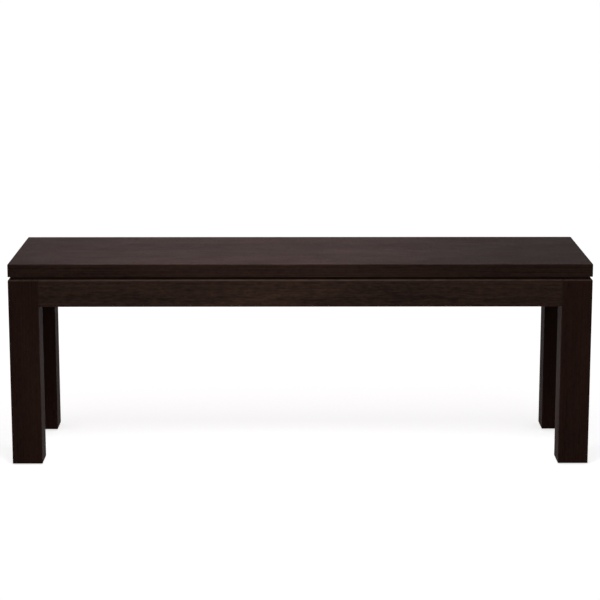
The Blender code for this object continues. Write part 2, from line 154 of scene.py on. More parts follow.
@dataclass(frozen=True)
class Place:
    """The box that a piece fills."""

    low: Vector
    high: Vector

    @classmethod
    def of(cls, node: str) -> "Place":
        """Reads a node's box from the frame."""
        return cls(*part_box(node))

    @property
    def centre(self) -> Vector:
        """The middle of the box."""
        return (self.low + self.high) / 2

    @property
    def size(self) -> Vector:
        """The length of the box along each axis."""
        return self.high - self.low

    @property
    def spans(self) -> list[Span]:
        """Where the box starts and ends along each axis."""
        return list(zip(self.low, self.high))

    @property
    def foot(self) -> Vector:
        """The point on the floor under its middle."""
        return Vector((self.centre.x, self.centre.y, 0))


@dataclass(frozen=True)
class Corner:
    """One corner of the bench. The first, front left, is the model that quarter turns bring to the others."""

    side: Side
    hand: Hand

    @property
    def name(self) -> str:
        """The words that end the names of this corner's nodes."""
        return f"{self.side.name}_{self.hand.name}".lower()

    def place(self, words: str) -> Place:
        """The box of this corner's node whose name starts with these words."""
        return Place.of(words + self.name)

    def outermost(self, place: Place) -> Vector:
        """Finds the upright edge of a box that is nearest to this corner.

        Args:
            place: the box.

        Returns:
            Where the edge stands on the floor.
        """
        x = place.low.x if self.hand is Hand.LEFT else place.high.x
        y = place.low.y if self.side is Side.FRONT else place.high.y
        return Vector((x, y, 0))

    @property
    def outer(self) -> Vector:
        """The leg's outer corner, on the floor."""
        return self.outermost(self.place("leg_"))

    @property
    def inwards(self) -> Vector:
        """The level direction across the corner, towards the middle of the bench."""
        return Vector((-self.hand.value, -self.side.value, 0)).normalized()

    @property
    def across(self) -> Matrix:
        """The turn that points the Z axis across the corner, with Y upright."""
        return self.inwards.to_track_quat("Z", "Y").to_matrix().to_4x4()

    @property
    def from_first(self) -> Matrix:
        """The move that brings a piece of the first corner to this one, turned but never mirrored."""
        quarters = ("front_left", "front_right", "back_right", "back_left").index(self.name)
        return at(self.outer) @ Matrix.Rotation(quarters * TURN / 4, 4, "Z") @ at(-CORNERS[0].outer)


CORNERS = [Corner(side, hand) for side in Side for hand in Hand]


def at(spot: Sequence[float]) -> Matrix:
    """The move from the origin to a place."""
    return Matrix.Translation(spot)


def about(middle: float, width: float) -> Span:
    """The span of this width round a middle."""
    return middle - width / 2, middle + width / 2


def take_up(thing: Object) -> None:
    """Selects one object alone and makes it active.

    Args:
        thing: the object that the next operators work on.
    """
    bpy.ops.object.select_all(action="DESELECT")
    thing.select_set(True)
    bpy.context.view_layer.objects.active = thing


def settle(thing: Object, name: str | None = None) -> Object:
    """Puts an object's place, turn and size into its mesh, so that it ends at the origin, unturned.

    Args:
        thing: the object.
        name: a new name for it and its mesh.

    Returns:
        The same object.
    """
    take_up(thing)
    bpy.ops.object.transform_apply(location=True, rotation=True, scale=True)
    if name:
        thing.name = thing.data.name = name
    return thing


def moved(thing: Object, matrix: Matrix) -> Object:
    """Moves an object and keeps the move in its mesh."""
    thing.matrix_world = matrix
    return settle(thing)


def repeated(model: Object, moves: Iterable[Matrix]) -> list[Object]:
    """Copies a model to each of its places and removes the model.

    Args:
        model: the finished shape.
        moves: the move from the model to each copy.

    Returns:
        The copies, each with its own mesh.
    """
    copies = []
    for move in moves:
        twin = model.copy()
        twin.data = model.data.copy()
        bpy.context.scene.collection.objects.link(twin)
        copies.append(moved(twin, move))
    bpy.data.objects.remove(model)
    return copies


@contextmanager
def editing(thing: Object) -> Iterator[None]:
    """Edit mode on one object, with nothing selected at its start.

    Args:
        thing: the object to edit.

    Yields:
        Nothing, once the object is in edit mode.
    """
    take_up(thing)
    bpy.ops.object.mode_set(mode="EDIT")
    bpy.ops.mesh.select_mode(type="VERT")
    bpy.ops.mesh.select_all(action="DESELECT")
    yield
    bpy.ops.object.mode_set(mode="OBJECT")


def pick(thing: Object, part: Part, wanted: Test) -> None:
    """Selects, in edit mode, the edges or the faces that pass a test.

    Args:
        thing: the object in edit mode.
        part: which of the two.
        wanted: is given an edge's middle and direction, or a face's centre and normal.
    """
    bpy.ops.mesh.select_mode(type=part.value)
    shape = bmesh.from_edit_mesh(thing.data)
    if part is Part.FACES:
        for face in shape.faces:
            face.select_set(wanted(face.calc_center_median(), face.normal))
    else:
        for edge in shape.edges:
            start, end = (point.co for point in edge.verts)
            edge.select_set(wanted((start + end) / 2, (end - start).normalized()))
    bmesh.update_edit_mesh(thing.data)


def draw_out(way: Sequence[float]) -> None:
    """Extrudes what is selected, in edit mode."""
    bpy.ops.mesh.extrude_region_move(TRANSFORM_OT_translate={"value": tuple(way)})


def mark_wear_and_light(thing: Object, amount: float, wanted: Callable[[bmesh.types.BMFace], bool]) -> None:
    """Marks, in edit mode, how far the faces that pass a test are lightened: finish wear on arrises, and
    painted highlight and painted light elsewhere.

    Args:
        thing: the object in edit mode.
        amount: how far they are lightened, from 0 to 1.
        wanted: is given a face.
    """
    shape = bmesh.from_edit_mesh(thing.data)
    layers = shape.faces.layers.float
    wear_and_light = layers.get("thin_finish") or layers.new("thin_finish")
    for face in shape.faces:
        if wanted(face):
            face[wear_and_light] = amount


def paint_light_on(thing: Object, wanted: Test) -> None:
    """Lightens fully the faces that pass a test of their centre and normal: painted light where the shadow
    gap is dark.
    """
    with editing(thing):
        mark_wear_and_light(thing, 1.0, lambda face: wanted(face.calc_center_median(), face.normal))


@dataclass(frozen=True)
class Arris:
    """A rounded edge.

    Args:
        width: how far the rounding reaches from the edge, in metres.
        steps: how many facets it has.
        rubbed: how far it is lightened, from 0 to 1: finish wear, and on the top arrises under the shadow gap
            a painted highlight.
    """

    width: float
    steps: int
    rubbed: float = 0.3


def ease(thing: Object, arris: Arris, wanted: Test) -> None:
    """Rounds the edges that pass a test, and marks the narrow new faces to be lightened as the arris sets:
    finish wear, and a painted highlight where it is set high.

    Args:
        thing: the object.
        arris: the rounding.
        wanted: is given an edge's middle and its direction.
    """
    def narrow(face: bmesh.types.BMFace) -> bool:
        """Tells a facet of the rounding from a broad face."""
        longest = max(edge.calc_length() for edge in face.edges)
        return face.select and face.calc_area() < FACET * arris.width / arris.steps * longest

    with editing(thing):
        pick(thing, Part.EDGES, wanted)
        bpy.ops.mesh.bevel(offset=arris.width, segments=arris.steps, affect="EDGES", clamp_overlap=True)
        mark_wear_and_light(thing, arris.rubbed, narrow)


def everywhere(*_: Vector) -> bool:
    """The test that passes all edges or faces."""
    return True


def plank(name: str, along: Span, across: Span, upright: Span, run: Run = Run.LENGTHWISE) -> Object:
    """A squared block, where a piece starts.

    Args:
        name: the object's name.
        along, across, upright: where it starts and ends each way.
        run: which way it runs.

    Returns:
        The block.
    """
    spans = (along, across, upright) if run is Run.LENGTHWISE else (across, along, upright)
    low, high = (Vector(ends) for ends in zip(*spans))
    bpy.ops.object.select_all(action="DESELECT")
    bpy.ops.mesh.primitive_cube_add(size=1, location=(low + high) / 2, scale=high - low)
    return settle(bpy.context.object, name)


def drawn(name: str, line: Line) -> Object:
    """A line of straight edges, drawn by extruding one point along it.

    Args:
        name: the object's name.
        line: its corners in order. One that ends where it starts is closed.

    Returns:
        The line.
    """
    corners = [Vector(corner) for corner in line]
    bpy.ops.object.select_all(action="DESELECT")
    bpy.ops.mesh.primitive_plane_add(size=MM, location=corners[0])
    made = settle(bpy.context.object, name)
    with editing(made):
        bpy.ops.mesh.select_all(action="SELECT")
        bpy.ops.mesh.merge(type="CENTER")
        for start, end in zip(corners, corners[1:]):
            draw_out(end - start)
        bpy.ops.mesh.select_all(action="SELECT")
        bpy.ops.mesh.remove_doubles(threshold=MERGE)
    return made


def closed_up(thing: Object) -> Object:
    """Merges a solid's doubled points and points its faces out.

    Args:
        thing: the solid.

    Returns:
        The same solid.
    """
    with editing(thing):
        bpy.ops.mesh.select_all(action="SELECT")
        bpy.ops.mesh.remove_doubles(threshold=MERGE)
        bpy.ops.mesh.normals_make_consistent(inside=False)
    return thing


def extruded(name: str, outline: Line, rise: Sequence[float]) -> Object:
    """A flat outline filled and drawn out into a solid.

    Args:
        name: the object's name.
        outline: its corners in order.
        rise: how far and which way it is drawn out.

    Returns:
        The solid.
    """
    made = drawn(name, [*outline, outline[0]])
    with editing(made):
        bpy.ops.mesh.select_all(action="SELECT")
        bpy.ops.mesh.edge_face_add()
        draw_out(rise)
    return closed_up(made)


def turned(name: str, profile: Line, steps: int) -> Object:
    """A round solid, spun about the Z axis.

    Args:
        name: the object's name.
        profile: radius and height of each corner. It starts and ends on the axis, or is joined up off it.
        steps: how many sides the solid has.

    Returns:
        The solid.
    """
    line = [(radius, 0, height) for radius, height in profile]
    made = drawn(name, [*line, line[0]] if profile[0][0] > 0 else line)
    with editing(made):
        bpy.ops.mesh.select_all(action="SELECT")
        bpy.ops.mesh.spin(steps=steps, angle=TURN, center=(0, 0, 0), axis=Z)
    return closed_up(made)


def quarter_round(steps: int) -> list[Span]:
    """How far a quarter of a circle of radius 1 has run out and up at each step, from (0, 0) to (1, 1)."""
    angles = [k * TURN / 4 / steps for k in range(steps + 1)]
    return [(math.sin(angle), 1 - math.cos(angle)) for angle in angles]


def shape_with(thing: Object, tool: Object, cut: Cut = Cut.TAKE_AWAY) -> None:
    """Works a piece with a second shape, which is used up.

    Args:
        thing: the piece that is worked.
        tool: the second shape.
        cut: what is done with it.
    """
    take_up(thing)
    boolean = thing.modifiers.new("cut", "BOOLEAN")
    boolean.operation = cut.value
    boolean.object = tool
    boolean.solver = "EXACT"
    bpy.ops.object.modifier_apply(modifier=boolean.name)
    bpy.data.objects.remove(tool)


def bore(thing: Object, profile: Line, axis: Matrix, steps: int = 24) -> None:
    """Drills a round hole of a turned profile, which the axis matrix moves from the Z axis to its place."""
    shape_with(thing, moved(turned("bore", profile, steps), axis))


def straight_bore(radius: float, start: float, end: float) -> Line:
    """The profile of a plain hole from one height to another."""
    return [(0, start), (radius, start), (radius, end), (0, end)]


def bore_for_screw(thing: Object, screw: Place, underside: float) -> None:
    """Bores the hole for a seat screw: a wide counterbore, a countersink and a clearance hole.

    Args:
        thing: the piece that the screw runs up through.
        screw: the screw's box.
        underside: the height of the piece's underside.
    """
    mouth, shank, head_height = 5.5 * MM, 2.5 * MM, 2.8 * MM
    head = screw.size.x / 2 + HAIRLINE
    seat = screw.low.z - HAIRLINE
    profile = [(0, underside - PAST), (mouth, underside - PAST), (mouth, seat), (head, seat),
               (shank, seat + head_height), (shank, screw.high.z), (0, screw.high.z)]
    bore(thing, profile, at(screw.foot), steps=32)


def polish(thing: Object) -> None:
    """Shades round faces smooth and keeps flat ones flat.

    Args:
        thing: the object.
    """
    take_up(thing)
    bpy.ops.object.shade_smooth_by_angle(angle=math.radians(ROUND_BEND))
    weights = thing.modifiers.new("flat_faces_lead", "WEIGHTED_NORMAL")
    weights.keep_sharp = True
    bpy.ops.object.modifier_apply(modifier=weights.name)


@dataclass(frozen=True)
class Sawn:
    """How a piece of wood was sawn from its tree.

    Args:
        along: the grain's direction.
        face: the normal of the piece's broad face.
        heart: how far the tree's heart lay from the middle of the piece, across its face and behind it.
    """

    along: Vector
    face: Vector
    heart: Span

    def mark(self, thing: Object) -> None:
        """Writes on a finished mesh where each point lay in the tree, and which faces are end grain.

        Args:
            thing: the finished piece of wood. Its name decides which stretch of the tree it comes from.
        """
        mesh = thing.data
        across = self.face.cross(self.along)
        stretch = random.Random(thing.name).uniform(0, TREE)
        corners = [vertex.co for vertex in mesh.vertices]
        centre = Vector([(min(c[k] for c in corners) + max(c[k] for c in corners)) / 2 for k in range(3)])
        grain: list[float] = []
        for corner in corners:
            offset = corner - centre
            grain.append(offset.dot(self.along) + stretch)
            grain.append(offset.dot(across) + self.heart[0])
            grain.append(offset.dot(self.face) + self.heart[1])
        ends = [abs(polygon.normal.dot(self.along)) ** END_FALL for polygon in mesh.polygons]
        mesh.attributes.new("grain", "FLOAT_VECTOR", "POINT").data.foreach_set("vector", grain)
        mesh.attributes.new("end_grain", "FLOAT", "FACE").data.foreach_set("value", ends)


class Graph:
    """Adds nodes to one node tree and wires them."""

    def __init__(self, tree: NodeTree) -> None:
        """Takes the tree that nodes are added to."""
        self.tree = tree

    def node(self, kind: str, inputs: Inputs | None = None, **settings: object) -> Node:
        """Adds a node.

        Args:
            kind: the node's type, without the word ShaderNode.
            inputs: what each of its inputs gets, by name or number: a socket to wire, or a value.
            settings: the node's own settings.

        Returns:
            The node.
        """
        made = self.tree.nodes.new("ShaderNode" + kind)
        for name, value in settings.items():
            setattr(made, name, value)
        for key, value in (inputs or {}).items():
            self.feed(value, made.inputs[key])
        return made

    def feed(self, value: object, socket: NodeSocket) -> None:
        """Wires a socket to an input, or sets the input's own value.

        Args:
            value: the socket or the value.
            socket: the input.
        """
        if isinstance(value, NodeSocket):
            self.tree.links.new(value, socket)
        elif socket.type == "RGBA" and len(value) == 3:
            socket.default_value = (*value, 1.0)
        else:
            socket.default_value = value

    def first(self, kind: str, inputs: Inputs | None = None, **settings: object) -> NodeSocket:
        """Adds a node and returns its first output."""
        return self.node(kind, inputs, **settings).outputs[0]

    def group(self, name: str, inputs: Inputs) -> NodeOutputs:
        """Places a node group and returns its outputs."""
        return self.node("Group", inputs, node_tree=bpy.data.node_groups[name]).outputs

    def attribute(self, name: str, output: str = "Fac") -> NodeSocket:
        """Reads one of the piece's own attributes."""
        return self.node("Attribute", attribute_name=name).outputs[output]

    def math(self, operation: str, *values: object, clamp: bool = False) -> NodeSocket:
        """Adds a Math node and returns its output."""
        return self.first("Math", dict(enumerate(values)), operation=operation, use_clamp=clamp)

    def sway(self, value: object, amount: object, middle: object) -> NodeSocket:
        """Swings a middle value by an amount, as noise from 0 to 1 runs below and above one half."""
        return self.math("MULTIPLY_ADD", self.math("SUBTRACT", value, 0.5), amount, middle)

    def ramp(self, value: object, start: float, end: float, low: float = 0, high: float = 1) -> NodeSocket:
        """Maps a range of values to another, and holds it at the ends."""
        inputs = {"Value": value, "From Min": start, "From Max": end, "To Min": low, "To Max": high}
        return self.first("MapRange", inputs)

    def noise(self, vector: object, cells: Triple, detail: float = 2, roughness: float = 0.5) -> NodeSocket:
        """Adds noise.

        Args:
            vector: the coordinates.
            cells: how many cells it has to the metre along each axis.
            detail: how many finer layers lie over it.
            roughness: how strong they are.

        Returns:
            Its value, from 0 to 1.
        """
        scaled = self.first("Mapping", {"Vector": vector, "Scale": cells})
        inputs = {"Vector": scaled, "Scale": 1.0, "Detail": detail, "Roughness": roughness}
        return self.node("TexNoise", inputs, noise_dimensions="3D").outputs["Fac"]

    def blend(self, factor: object, first: object, second: object) -> NodeSocket:
        """Mixes two colours, which a Mix node takes at inputs 6 and 7 and gives at output 2."""
        return self.node("Mix", {0: factor, 6: first, 7: second}, data_type="RGBA").outputs[2]

    def marks(self, vector: object, roughness: float, smears: float, scratches: float) -> NodeOutputs:
        """Places the handling marks of a finish, and returns their roughness and height."""
        inputs = {"Vector": vector, "Roughness": roughness, "Smears": smears, "Scratches": scratches}
        return self.group("handling_marks", inputs)

    def bump(self, height: object, depth: float, strength: float = 1.0) -> NodeSocket:
        """Turns a height into a normal."""
        return self.first("Bump", {"Height": height, "Distance": depth, "Strength": strength})

    def by_sight(self, lit: NodeSocket, shown: NodeSocket) -> NodeSocket:
        """Gives one look to the light that falls on the bench and another to what shows the room.

        Args:
            lit: the shader for the light on the bench.
            shown: the shader for rays straight to the camera, by a reflection or through glass.

        Returns:
            Both shaders, mixed.
        """
        path = self.node("LightPath").outputs
        mirrored = self.math("MAXIMUM", path["Is Glossy Ray"], path["Is Transmission Ray"])
        seen = self.math("MAXIMUM", path["Is Camera Ray"], mirrored)
        return self.first("MixShader", {0: seen, 1: lit, 2: shown})


def node_group(name: str, inputs: dict[str, str],
               outputs: dict[str, str]) -> tuple[Graph, NodeOutputs, NodeInputs]:
    """Starts a node group.

    Args:
        name: the group's name.
        inputs: the type of each input, by name: Vector, Color or Float.
        outputs: the same for its outputs.

    Returns:
        A graph to build in, the sockets that bring the inputs in, and those that take the outputs.
    """
    tree = bpy.data.node_groups.new(name, "ShaderNodeTree")
    for way, sockets in (("INPUT", inputs), ("OUTPUT", outputs)):
        for socket, kind in sockets.items():
            tree.interface.new_socket(socket, in_out=way, socket_type="NodeSocket" + kind)
    return Graph(tree), tree.nodes.new("NodeGroupInput").outputs, tree.nodes.new("NodeGroupOutput").inputs


def build_wood_figure() -> None:
    """Builds the group that all wood shares: rings round the heart, fibres, mottled figure and open pores."""
    inputs = {"Grain": "Vector", "Dark": "Color", "Light": "Color", "Pore": "Color", "Ring Width": "Float"}
    inputs |= {"Rings": "Float", "Fibres": "Float", "Mottle": "Float", "Drift": "Float"}
    outputs = {"Color": "Color", "Pores": "Float", "Fibre": "Float"}
    graph, given, result = node_group("wood_figure", inputs, outputs)
    grain = given["Grain"]

    # The rings wander slowly along the piece. Each darkens towards its late wood and then breaks off.
    wander_width, ripple_width, late_wood = 30 * MM, 2.5 * MM, 2.2
    neutral_ring, middle_tone, pore_strength = 0.4, 0.5, 0.8
    wander = graph.noise(grain, cells=(1.3, 7.0, 7.0), detail=3)
    ripple = graph.noise(grain, cells=(9.0, 60.0, 60.0))
    tree = graph.node("SeparateXYZ", {0: grain}).outputs
    across = graph.math("MULTIPLY_ADD", wander, wander_width, tree["Y"])
    behind = graph.math("MULTIPLY", tree["Z"], tree["Z"])
    radius = graph.math("SQRT", graph.math("MULTIPLY_ADD", across, across, behind))
    radius = graph.math("MULTIPLY_ADD", ripple, ripple_width, radius)
    ring = graph.math("FRACT", graph.math("DIVIDE", radius, given["Ring Width"]))
    ring = graph.math("POWER", ring, late_wood)
    tone = graph.math("MULTIPLY_ADD", graph.math("SUBTRACT", neutral_ring, ring), given["Rings"], middle_tone)

    fibre = graph.noise(grain, cells=(5.0, 420.0, 420.0), detail=3, roughness=0.65)
    mottle = graph.noise(grain, cells=(55.0, 190.0, 190.0), detail=3, roughness=0.6)
    drift = graph.noise(grain, cells=(2.2, 9.0, 9.0))
    for pattern, amount in ((fibre, "Fibres"), (mottle, "Mottle"), (drift, "Drift")):
        tone = graph.sway(pattern, given[amount], tone)
    tone = graph.math("MINIMUM", graph.math("MAXIMUM", tone, 0.0), 1.0)

    # Pores are fine vessels: dots in the end grain, and dashes along the sides.
    vessels = graph.noise(grain, cells=(110.0, 2600.0, 2600.0), detail=1)
    clumps = graph.noise(grain, cells=(20.0, 240.0, 240.0), detail=1)
    pores = graph.ramp(graph.sway(clumps, amount=0.25, middle=vessels), start=0.60, end=0.68)

    wood = graph.blend(tone, given["Dark"], given["Light"])
    filled = graph.math("MULTIPLY", pores, pore_strength)
    graph.feed(graph.blend(filled, wood, given["Pore"]), result["Color"])
    graph.feed(pores, result["Pores"])
    graph.feed(fibre, result["Fibre"])


def build_handling_marks() -> None:
    """Builds the group that every finish shares: smears, mottle and scratches, for roughness and height."""
    inputs = {"Vector": "Vector", "Roughness": "Float", "Smears": "Float", "Scratches": "Float"}
    outputs = {"Roughness": "Float", "Height": "Float"}
    graph, given, result = node_group("handling_marks", inputs, outputs)
    smears = graph.noise(given["Vector"], cells=(9.0, 14.0, 11.0), detail=4, roughness=0.6)
    fine = graph.noise(given["Vector"], cells=(170.0, 190.0, 180.0))
    hairs = graph.noise(given["Vector"], cells=(14.0, 900.0, 900.0), detail=1)
    scratches, scratch_depth = graph.ramp(hairs, start=0.66, end=0.72), 0.5
    rough = graph.sway(smears, given["Smears"], given["Roughness"])
    rough = graph.sway(fine, amount=0.04, middle=rough)
    rough = graph.math("MULTIPLY_ADD", scratches, given["Scratches"], rough, clamp=True)
    graph.feed(rough, result["Roughness"])
    graph.feed(graph.math("MULTIPLY_ADD", scratches, -scratch_depth, fine), result["Height"])


@dataclass(frozen=True)
class Finish:
    """What a piece is coated with or made of.

    Args:
        name: the material's name.
        slot: the name of a material slot. It is not used.
    """

    name: str
    slot: str

    def looks(self, graph: Graph) -> dict[str, object]:
        """Says what the shader's inputs get.

        Args:
            graph: the material's nodes.

        Returns:
            A socket to wire or a plain value, by the input's name.
        """
        raise NotImplementedError

    def build(self) -> Material:
        """Builds the material.

        Returns:
            The material.
        """
        made = bpy.data.materials.new(self.name)
        made.use_nodes = True
        graph = Graph(made.node_tree)
        shader = made.node_tree.nodes["Principled BSDF"]
        for name, value in self.looks(graph).items():
            graph.feed(value, shader.inputs[name])
        return made


@dataclass(frozen=True)
class WoodFinish(Finish):
    """Wood under a stain and a dull lacquer, or bare.

    Args:
        dark, light: the colours of late wood and dark figure, and of early wood and light figure.
        pore: the colour inside the pores.
        thin, thin_share: the lighter colour of marked faces and how far it shows: finish wear on arrises,
            painted highlight on the top arrises and painted light inside the shadow gap.
        end_grain: how much darker end grain is, from 0 to 1.
        ring_width: the width of a year's ring, in metres.
        rings, fibres, mottle, drift: how strongly each pattern shows.
        roughness: how rough the finish is.
        gloss, tint: how strongly it reflects, where 0.5 is clear plastic, and in what colour.
        grain_depth: how deep the pores and fibres are, in metres.
    """

    dark: Colour
    light: Colour
    pore: Colour
    thin: Colour
    thin_share: float
    end_grain: float
    ring_width: float
    rings: float
    fibres: float
    mottle: float
    drift: float
    roughness: float
    gloss: float
    tint: Colour
    grain_depth: float

    def looks(self, graph: Graph) -> dict[str, object]:
        """Says what the shader's inputs get, from the attributes that rub and Sawn.mark write.

        Args:
            graph: the material's nodes.

        Returns:
            A socket to wire or a plain value, by the input's name.
        """
        grain, ends = graph.attribute("grain", "Vector"), graph.attribute("end_grain")
        figure = graph.group("wood_figure", {
            "Grain": grain, "Dark": self.dark, "Light": self.light, "Pore": self.pore,
            "Ring Width": self.ring_width, "Rings": self.rings, "Fibres": self.fibres,
            "Mottle": self.mottle, "Drift": self.drift,
        })

        # Stain sinks deeper into end grain. Marked faces lighten in patches, here more and there less: finish
        # wear on arrises, painted highlight on the top arrises and painted light inside the shadow gap.
        soaked = graph.blend(graph.math("MULTIPLY", ends, self.end_grain), figure["Color"], self.pore)
        patches = graph.noise(grain, cells=(30.0, 90.0, 90.0), detail=3)
        patches = graph.ramp(patches, start=0.35, end=0.60, low=self.thin_share / 2, high=self.thin_share)
        wear_and_light_mask = graph.math("MULTIPLY", graph.attribute("thin_finish"), patches)

        # Pores and end grain are rougher. Fibres stand up out of the surface, and pores lie in it.
        rough_pores, rough_ends, fibre_rise, mark_rise = 0.22, 0.15, 0.35, 0.06
        marks = graph.marks(grain, self.roughness, smears=0.16, scratches=0.10)
        rough = graph.math("MULTIPLY_ADD", figure["Pores"], rough_pores, marks["Roughness"])
        height = graph.math("SUBTRACT", graph.math("MULTIPLY", figure["Fibre"], fibre_rise), figure["Pores"])
        height = graph.math("MULTIPLY_ADD", marks["Height"], mark_rise, height)
        return {
            "Base Color": graph.blend(wear_and_light_mask, soaked, self.thin),
            "Roughness": graph.math("MULTIPLY_ADD", ends, rough_ends, rough, clamp=True),
            "Normal": graph.bump(height, self.grain_depth),
            "Specular IOR Level": self.gloss,
            "Specular Tint": self.tint,
        }


@dataclass(frozen=True)
class SteelFinish(Finish):
    """Zinc-plated steel: bright, a little blotched, and duller where it has tarnished.

    Args:
        bright, dull: the colours of fresh plating and of tarnish.
        roughness, tarnish_roughness: how rough the plating is, and how much rougher tarnish is.
    """

    bright: Colour = (0.60, 0.59, 0.55)
    dull: Colour = (0.34, 0.33, 0.30)
    roughness: float = 0.34
    tarnish_roughness: float = 0.14

    def looks(self, graph: Graph) -> dict[str, object]:
        """Says what the shader's inputs get.

        Args:
            graph: the material's nodes.

        Returns:
            A socket to wire or a plain value, by the input's name.
        """
        place = graph.node("TexCoord").outputs["Object"]
        blotches = graph.noise(place, cells=(260.0, 260.0, 260.0), detail=4, roughness=0.6)
        blotches = graph.ramp(blotches, start=0.42, end=0.64)
        marks = graph.marks(place, self.roughness, smears=0.10, scratches=0.12)
        rough = graph.math("MULTIPLY_ADD", blotches, self.tarnish_roughness, marks["Roughness"], clamp=True)
        return {
            "Base Color": graph.blend(blotches, self.bright, self.dull),
            "Metallic": 1.0,
            "Roughness": rough,
            "Normal": graph.bump(marks["Height"], depth=0.02 * MM, strength=0.6),
        }


@dataclass(frozen=True)
class NylonFinish(Finish):
    """Moulded nylon with a fine grain, scuffed where it slides.

    Args:
        colour, scuff: the moulded colour and that of scuffs.
        roughness: how rough it is.
    """

    colour: Colour = (0.028, 0.024, 0.021)
    scuff: Colour = (0.085, 0.078, 0.070)
    roughness: float = 0.52

    def looks(self, graph: Graph) -> dict[str, object]:
        """Says what the shader's inputs get.

        Args:
            graph: the material's nodes.

        Returns:
            A socket to wire or a plain value, by the input's name.
        """
        place = graph.node("TexCoord").outputs["Object"]
        scuffs = graph.noise(place, cells=(190.0, 230.0, 160.0), detail=4, roughness=0.7)
        scuffs = graph.ramp(scuffs, start=0.52, end=0.70)
        specks = graph.noise(place, cells=(1400.0, 1400.0, 1400.0))
        return {
            "Base Color": graph.blend(scuffs, self.colour, self.scuff),
            "Roughness": graph.marks(place, self.roughness, smears=0.08, scratches=0.18)["Roughness"],
            "Normal": graph.bump(specks, depth=0.03 * MM, strength=0.7),
        }


# Each wood's lighter colour shows finish wear, and on faces marked for it, a painted highlight and painted
# light in the shadow gap.
SEAT_WOOD = WoodFinish(
    name="stained_seat", slot="seat_wood",
    dark=(0.0053, 0.0034, 0.0027), light=(0.0228, 0.0124, 0.0088), pore=(0.003, 0.0020, 0.0016),
    thin=(0.070, 0.040, 0.028), thin_share=0.50, end_grain=0.35,
    ring_width=5.5 * MM, rings=0.22, fibres=1.3, mottle=1.0, drift=1.5,
    roughness=0.58, gloss=0.041, tint=(1.0, 0.4, 0.4), grain_depth=0.025 * MM,
)
FRAME_WOOD = WoodFinish(
    name="stained_frame", slot="frame_wood",
    dark=(0.0074, 0.0042, 0.0033), light=(0.0302, 0.0156, 0.0105), pore=(0.003, 0.0018, 0.0015),
    thin=(0.074, 0.046, 0.036), thin_share=0.42, end_grain=0.35,
    ring_width=4.5 * MM, rings=0.20, fibres=1.2, mottle=1.6, drift=1.5,
    roughness=0.58, gloss=0.040, tint=(1.0, 0.9, 0.85), grain_depth=0.030 * MM,
)
LEG_WOOD = replace(
    FRAME_WOOD, name="stained_leg", dark=(0.0075, 0.0036, 0.0027), light=(0.0262, 0.0122, 0.0087),
    thin_share=0.50, rings=0.12, fibres=0.9, mottle=0.8, roughness=0.62, gloss=0.014,
)
BLOCK_WOOD = WoodFinish(
    name="bare_hardwood", slot="block_wood",
    dark=(0.125, 0.060, 0.030), light=(0.27, 0.155, 0.085), pore=(0.060, 0.028, 0.014),
    thin=(0.30, 0.18, 0.10), thin_share=0.35, end_grain=0.30,
    ring_width=3.0 * MM, rings=0.5, fibres=0.9, mottle=0.5, drift=0.8,
    roughness=0.66, gloss=0.3, tint=WHITE, grain_depth=0.045 * MM,
)
STEEL = SteelFinish("zinc_plated_steel", "zinc_steel")
NYLON = NylonFinish("brown_nylon", "nylon")
FINISHES = (SEAT_WOOD, FRAME_WOOD, LEG_WOOD, BLOCK_WOOD, STEEL, NYLON)


@dataclass(frozen=True)
class Piece:
    """A finished piece and what it stands for.

    Args:
        thing: its object.
        node: the frame's node that it replaces.
        finish: its finish.
        sawn: how it was sawn, if it is wood.
    """

    thing: Object
    node: str
    finish: Finish
    sawn: Sawn | None

    def hand_over(self, material: Material) -> None:
        """Gives the piece its shading, its material, its body and its node.

        Args:
            material: the material of its finish.
        """
        self.thing.name = self.thing.data.name = self.node + "_finished"
        polish(self.thing)
        if self.sawn:
            self.sawn.mark(self.thing)
        self.thing.data.materials.clear()
        self.thing.data.materials.append(material)
        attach(self.thing, "root")
        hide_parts(self.node)
        LOG.info("%s: %d faces, %s", self.thing.name, len(self.thing.data.polygons), self.finish.name)


@dataclass
class SubAssembly:
    """Pieces that are built together and dressed together."""

    pieces: list[Piece] = field(default_factory=list, init=False)

    def build(self) -> None:
        """Models the pieces and keeps them."""
        raise NotImplementedError

    def keep(self, model: Object, finish: Finish, moves: dict[str, Matrix],
             sawn: Sequence[Sawn] = ()) -> None:
        """Copies a model to its places and keeps the copies.

        Args:
            model: the finished shape.
            finish: the copies' finish.
            moves: the move from the model to each copy, by the node that the copy replaces.
            sawn: how each copy was sawn, in the same order, if they are wood.
        """
        copies = repeated(model, moves.values())
        for node, copy, cut in zip(moves, copies, sawn or [None] * len(copies)):
            self.pieces.append(Piece(copy, node, finish, cut))

    def dress(self, materials: dict[str, Material]) -> None:
        """Finishes every piece that was built, with the material of its finish."""
        for piece in self.pieces:
            piece.hand_over(materials[piece.finish.name])


